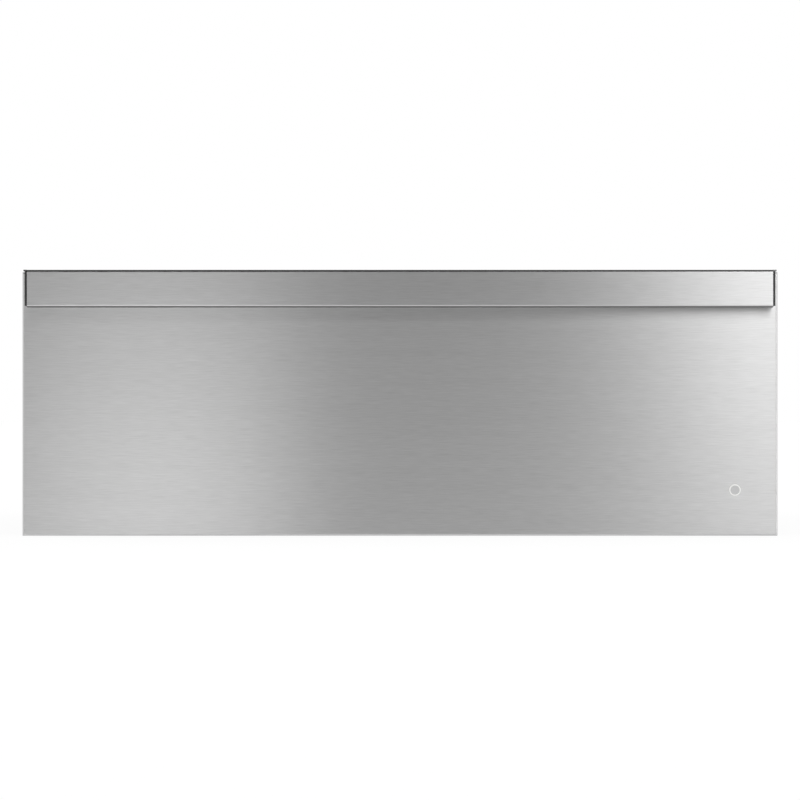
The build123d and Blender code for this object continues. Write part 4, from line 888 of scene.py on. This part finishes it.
def make_insulation(screws_at):
    """Wool round the cavity and in the front, open where screws, leads and the vent go."""
    screw_room = 3.6 * mm
    screw_reach = 8 * mm
    slabs = []
    for side, solid in enumerate(separate_solids("insulation_sides")):
        slab = wool_slab(f"wool_side_{side}", *corners(solid))
        facing = 1 if side else -1
        for seat, outward, _, _ in screws_at["slide_screws"] + screws_at["frame_screws"]:
            if outward.x * facing < -0.5:
                bore(slab, seat, outward, screw_room, screw_reach)
        slabs.append(slab)
    fit_out(join_pieces(slabs), "chassis", "mineral_wool", "insulation_sides")

    for name, node in (("wool_over_cavity", "insulation_top"), ("wool_under_cavity", "insulation_floor")):
        fit_out(wool_slab(name, *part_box(node)), "chassis", "mineral_wool", node)

    back = wool_slab("wool_behind_cavity", *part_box("insulation_back"))
    through = 30 * mm
    round_lead = 10.3 * mm
    round_cutout = 15.3 * mm
    round_stem = 4.5 * mm
    for solid in separate_solids("element_bushings"):
        low, high = corners(solid)
        bore(back, (low + high) / 2, (0, 1, 0), round_lead, through)
    for node, radius in (("temperature_sensor", round_lead), ("thermal_cutout", round_cutout)):
        low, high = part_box(node)
        bore(back, (low + high) / 2, (0, 1, 0), radius, through)
    fit_out(back, "chassis", "mineral_wool", "insulation_back")

    front_low, front_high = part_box("front_insulation")
    front = wool_slab("wool_in_front", front_low, front_high)
    vent_low, vent_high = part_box("vent_slide")
    vent_travel = 16 * mm
    channel_depth = 7 * mm
    channel_low = Vector((vent_low.x, front_high.y - channel_depth, vent_low.z))
    channel_high = Vector((vent_high.x + vent_travel, front_high.y, front_high.z))
    channel_high += Vector((0, channel_depth, channel_depth))
    clear_selection()
    bpy.ops.mesh.primitive_cube_add(size=1, location=(channel_low + channel_high) / 2)
    channel = bpy.context.object
    channel.scale = channel_high - channel_low
    put_place_into_mesh(channel)
    carve(front, channel)
    badge_low, badge_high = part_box("badge_disc")
    bore(front, (badge_low + badge_high) / 2, (0, 1, 0), round_stem, through)
    for seat, outward, _, _ in screws_at["drawer_screws"]:
        inside = front_low.x < seat.x < front_high.x and front_low.z < seat.z < front_high.z
        if outward.y > 0.5 and inside:
            bore(front, seat, outward, screw_room, screw_reach)
    fit_out(front, "drawer", "mineral_wool", "front_insulation")


# ---------------------------------------------------------------- screws

# the body that each CAD node of screws rides on
screw_nodes = {
    "case_screws": "chassis",
    "frame_screws": "chassis",
    "slide_screws": "chassis",
    "drawer_screws": "drawer",
}


def find_screws(node):
    """Each screw of a CAD node: where its head sits, the way its head looks, head height and length."""
    rim_from = 0.8  # of the head's radius, which no shank reaches
    found = []
    for points in separate_solids(node):
        low, high = corners(points)
        spans = high - low
        # the two spans across the head are alike, and the third is the screw's length
        axis = min(range(3), key=lambda i: abs(spans[i - 1] - spans[i - 2]))
        middle = (low + high) / 2
        head_radius = spans[axis - 1] / 2
        across = [i for i in range(3) if i != axis]
        rim = [
            co[axis]
            for co in points
            if math.hypot(*(co[i] - middle[i] for i in across)) > rim_from * head_radius
        ]
        sign = 1 if sum(rim) / len(rim) > middle[axis] else -1
        outward = Vector([sign if i == axis else 0 for i in range(3)])
        seat_level = min(rim) if sign > 0 else max(rim)
        seat = Vector([seat_level if i == axis else middle[i] for i in range(3)])
        head_height = max(rim) - min(rim)
        found.append((seat, outward, round(head_height / mm, 2) * mm, spans[axis]))
    return found


def make_screw(head_height, length):
    """Sheet-metal screw that looks up: a low domed head with a cross recess, a shank and a blunt point."""
    head_sides = 32
    head_radius = 3.6 * mm
    shank_radius = 1.8 * mm
    dome = 0.5 * mm
    recess_reach = 2.1 * mm
    recess_width = 0.75 * mm
    recess_depth = 0.8 * mm
    point = 1.5 * mm
    point_taper = 0.45
    clear_selection()
    bpy.ops.mesh.primitive_cylinder_add(
        vertices=head_sides, radius=head_radius, depth=head_height, location=(0, 0, head_height / 2)
    )
    screw = start_piece("screw")
    top = head_height - 0.01 * mm
    pick(screw, "EDGE", lambda edge: all(end.co.z > top for end in edge.verts))
    bpy.ops.mesh.bevel(offset=dome, segments=4, profile=0.5)
    pick(screw, "FACE", lambda face: face.normal.z < -0.9)
    bpy.ops.mesh.inset(thickness=head_radius - shank_radius)
    shank = length - head_height - point
    bpy.ops.mesh.extrude_region_move(TRANSFORM_OT_translate={"value": (0, 0, -shank)})
    bpy.ops.mesh.extrude_region_move(TRANSFORM_OT_translate={"value": (0, 0, -point)})
    bpy.ops.transform.resize(value=(point_taper, point_taper, 1))
    close_piece()
    for turn in (0, math.pi / 2):
        clear_selection()
        bpy.ops.mesh.primitive_cube_add(size=1, location=(0, 0, head_height))
        cutter = bpy.context.object
        cutter.scale = (2 * recess_reach, recess_width, 2 * recess_depth)
        cutter.rotation_euler = (0, 0, turn)
        put_place_into_mesh(cutter)
        carve(screw, cutter)
    return screw


def make_screws(node, places, models):
    """Copies of the modelled screws at a CAD node's places, as one piece."""
    turn = 1.9  # radians from each screw's recess to the next one's
    copies = []
    for number, (seat, outward, head_height, length) in enumerate(places):
        kind = (round(head_height / mm, 1), round(length / mm, 1))
        if kind not in models:
            models[kind] = make_screw(head_height, length)
        screw = models[kind].copy()
        screw.data = models[kind].data.copy()
        screw.name = f"{node}_crosshead" if number == 0 else f"{node}_{number}"
        bpy.context.collection.objects.link(screw)
        # each recess stands at its own angle, as screws stop where they are tight
        turned = Matrix.Rotation(number * turn, 4, "Z")
        facing = outward.to_track_quat("Z", "Y").to_matrix().to_4x4()
        screw.matrix_world = Matrix.Translation(seat) @ facing @ turned
        copies.append(screw)
    joined = join_pieces(copies)
    joined.data.name = joined.name
    fit_out(joined, screw_nodes[node], "zinc_fasteners", node)


# ---------------------------------------------------------------- printed signs on the buttons

ink_thick = 0.03 * mm
ink_rise = 0.005 * mm  # off the button's face
stroke = 0.55 * mm
sign_radius = 2.4 * mm
ring_sides = 48
power_gap = math.radians(70)
power_bar = 1.15 * sign_radius
long_hand = 0.65 * sign_radius
short_hand = 0.5 * sign_radius
arrow_arm = 0.95 * sign_radius
arrow_lean = math.radians(45)


def finish_sign(sign, body):
    """Give the open flat sign its thickness and its ink."""
    bpy.ops.mesh.select_all(action="SELECT")
    bpy.ops.mesh.extrude_region_move(TRANSFORM_OT_translate={"value": (0, -ink_thick, 0)})
    close_piece()
    fit_out(sign, body, "black_gloss", finish=button_ink)


def start_ring(name, centre, gap):
    """Flat ring on a button's face, open at its top by the angle gap."""
    clear_selection()
    bpy.ops.mesh.primitive_circle_add(
        vertices=ring_sides,
        radius=sign_radius,
        fill_type="NGON",
        location=centre,
        rotation=(math.pi / 2, 0, 0),
    )
    ring = start_piece(name)
    bpy.ops.mesh.select_all(action="SELECT")
    bpy.ops.mesh.inset(thickness=stroke)
    bpy.ops.mesh.delete(type="FACE")
    if gap:
        upward = Vector((0, 0, 1))
        pick(ring, "FACE", lambda face: (face.calc_center_median() - centre).angle(upward) < gap / 2)
        bpy.ops.mesh.delete(type="FACE")
    return ring


def bar(name, centre, angle, start, end):
    """Flat bar on a button's face, from one distance from the centre to another, turned from upright."""
    way = Vector((math.sin(angle), 0, math.cos(angle)))
    clear_selection()
    bpy.ops.mesh.primitive_plane_add(size=1, location=centre + way * (start + end) / 2)
    piece = bpy.context.object
    piece.name = name
    piece.scale = (stroke, end - start, 1)
    upright = Matrix.Rotation(math.pi / 2, 3, "X")
    piece.rotation_euler = (Matrix.Rotation(angle, 3, "Y") @ upright).to_euler()
    put_place_into_mesh(piece)
    return piece


def make_signs():
    """Generic signs: on and off, timer, cooler and warmer."""
    for name in ("power", "timer", "down", "up"):
        node = f"button_{name}"
        low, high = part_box(node)
        centre = Vector(((low.x + high.x) / 2, low.y - ink_rise, (low.z + high.z) / 2))
        pieces = []
        if name in ("power", "timer"):
            pieces.append(start_ring(f"sign_{name}", centre, power_gap if name == "power" else 0))
            close_piece()
        if name == "power":
            pieces.append(bar("sign_bar", centre, 0, 0, power_bar))
        elif name == "timer":
            pieces.append(bar("sign_hand", centre, 0, 0, long_hand))
            pieces.append(bar("sign_hand", centre, math.pi / 2, 0, short_hand))
        else:
            tip = centre + Vector((0, 0, arrow_arm / 3 if name == "up" else -arrow_arm / 3))
            for side in (-1, 1):
                angle = side * (math.pi - arrow_lean) if name == "up" else side * arrow_lean
                pieces.append(bar(f"sign_{name}", tip, angle, -stroke / 2, arrow_arm))
        sign = join_pieces(pieces)
        sign.name = f"sign_{name}"
        sign.data.name = sign.name
        bpy.ops.object.mode_set(mode="EDIT")
        finish_sign(sign, node)


make_gasket()
screws_at = {node: find_screws(node) for node in screw_nodes}
screw_models = {}
for node, places in screws_at.items():
    make_screws(node, places, screw_models)
for model in screw_models.values():
    bpy.data.objects.remove(model)
make_insulation(screws_at)
make_signs()

# ---------------------------------------------------------------- stage, lamps and camera

skin_low, skin_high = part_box("front_skin")

# the photograph's frame, in its pixels, and where the front stands in it
photo_side = 800
front_left_px = 22.2
front_right_px = 777.6
front_bottom_px = 535.8

camera_distance = 3.2
sensor = 36.0  # millimetres

px_per_metre = (front_right_px - front_left_px) / (skin_high.x - skin_low.x)
camera_height = skin_low.z + (front_bottom_px - photo_side / 2) / px_per_metre

clear_selection()
bpy.ops.object.camera_add(
    location=(0, skin_low.y - camera_distance, camera_height), rotation=(math.pi / 2, 0, 0)
)
camera = bpy.context.object
camera.data.sensor_width = sensor
camera.data.lens = sensor * camera_distance * px_per_metre / photo_side
bpy.context.scene.camera = camera

white = (1, 1, 1, 1)
room_light = 0.9
floor_side = 30
# the paper shows mostly as plain white, and the rest of it takes light and shadow as real paper does
paper_share = 0.85
paper_glow = 1.04


def seen_directly(owner):
    """1 for what the camera, a reflection or glass sees, and 0 for all other light."""
    path = add_node(owner, "LightPath")
    larger = {"operation": "MAXIMUM"}
    either = add_node(
        owner, "Math", larger, links={0: (path, "Is Camera Ray"), 1: (path, "Is Glossy Ray")}
    )
    return add_node(
        owner, "Math", larger, links={0: (either, "Value"), 1: (path, "Is Transmission Ray")}
    )


def make_world():
    """White studio to the eye and in reflections, and a softer, even light from all round."""
    world = bpy.data.worlds.new("studio_white")
    bpy.context.scene.world = world
    world.use_nodes = True
    world.node_tree.nodes.clear()
    direct = seen_directly(world)
    soft = add_node(world, "Background", values={"Color": white, "Strength": room_light})
    plain = add_node(world, "Background", values={"Color": white, "Strength": 1.0})
    mixed = add_node(
        world,
        "MixShader",
        links={0: (direct, "Value"), 1: (soft, "Background"), 2: (plain, "Background")},
    )
    add_node(world, "OutputWorld", links={"Surface": (mixed, "Shader")})


def make_floor():
    """White paper floor, which keeps some of the drawer's shadow."""
    clear_selection()
    bpy.ops.mesh.primitive_plane_add(size=floor_side, location=(0, 0, skin_low.z))
    floor = bpy.context.object
    floor.name = "studio_floor"
    paper = new_material("paper_white")
    where = add_node(paper, "TexCoord")
    clouds = add_node(paper, "TexNoise", values={"Scale": 1 / (25 * mm)}, links={"Vector": (where, "Object")})
    colour = add_node(
        paper, "ValToRGB", {"stops": [(0.3, "#f0f0f0"), (0.7, "#f4f4f4")]}, links={"Fac": (clouds, "Fac")}
    )
    sheet = add_node(paper, "BsdfDiffuse", links={"Color": (colour, "Color")})
    glow = add_node(paper, "Emission", values={"Color": white, "Strength": paper_glow})
    share = add_node(
        paper, "Math", {"operation": "MULTIPLY"}, {1: paper_share}, {0: (seen_directly(paper), "Value")}
    )
    mixed = add_node(
        paper, "MixShader", links={0: (share, "Value"), 1: (sheet, "BSDF"), 2: (glow, "Emission")}
    )
    add_node(paper, "OutputMaterial", links={"Surface": (mixed, "Shader")})
    floor.data.materials.append(paper)


def make_card(name, middle, size, lean):
    """Black studio card that only reflections see, turned up from level by the angle lean, in degrees."""
    clear_selection()
    bpy.ops.mesh.primitive_plane_add(size=1, location=middle, rotation=(math.radians(lean), 0, 0))
    card = bpy.context.object
    card.name = name
    card.scale = (*size, 1)
    cloth = new_material(name + "_cloth")
    black = add_node(cloth, "Emission", values={"Color": paint("#000000"), "Strength": 1.0})
    add_node(cloth, "OutputMaterial", links={"Surface": (black, "Emission")})
    card.data.materials.append(cloth)
    card.visible_camera = False
    card.visible_diffuse = False
    card.visible_shadow = False


def add_lamp(name, stand, size, power, target=None):
    """Soft box, its power in watts, that faces a point or looks straight at the front."""
    target = target or (stand[0], 0, stand[2])
    bpy.ops.object.light_add(type="AREA", location=stand)
    lamp = bpy.context.object
    lamp.name = name
    lamp.data.shape = "ELLIPSE"
    lamp.data.size = size[0]
    lamp.data.size_y = size[1]
    lamp.data.energy = power
    lamp.visible_camera = False
    lamp.rotation_euler = (Vector(target) - Vector(stand)).to_track_quat("-Z", "Y").to_euler()


make_world()
make_floor()
# the cards make the brushed front a mid grey and keep light off the handle's upper bend
make_card("card_front", middle=(-0.1, -5.0, 0.4), size=(4.6, 4.2), lean=90)
make_card("card_above", middle=(0, -2.3, 3.4), size=(3.4, 4.8), lean=0)
# the front mirrors the lamps softly: the strips give its left half a bright foot, the tall boxes its
# bright right end, and the one at the side the bright line down its right edge
add_lamp("strip_left_wide", stand=(-0.36, -1.2, 0.02), size=(0.5, 0.04), power=0.42)
add_lamp("strip_left_narrow", stand=(-0.32, -1.2, 0.015), size=(0.3, 0.03), power=0.16)
add_lamp("softbox_right", stand=(0.66, -2.0, 0.8), size=(0.35, 1.1), power=3.5)
add_lamp("softbox_right_inner", stand=(0.5, -2.0, 0.8), size=(0.35, 1.1), power=0.95)
add_lamp("softbox_side", stand=(2.2, -1.4, 0.3), size=(0.5, 0.8), power=5, target=(0.4, 0, 0.13))

bpy.context.scene.view_settings.view_transform = "Standard"
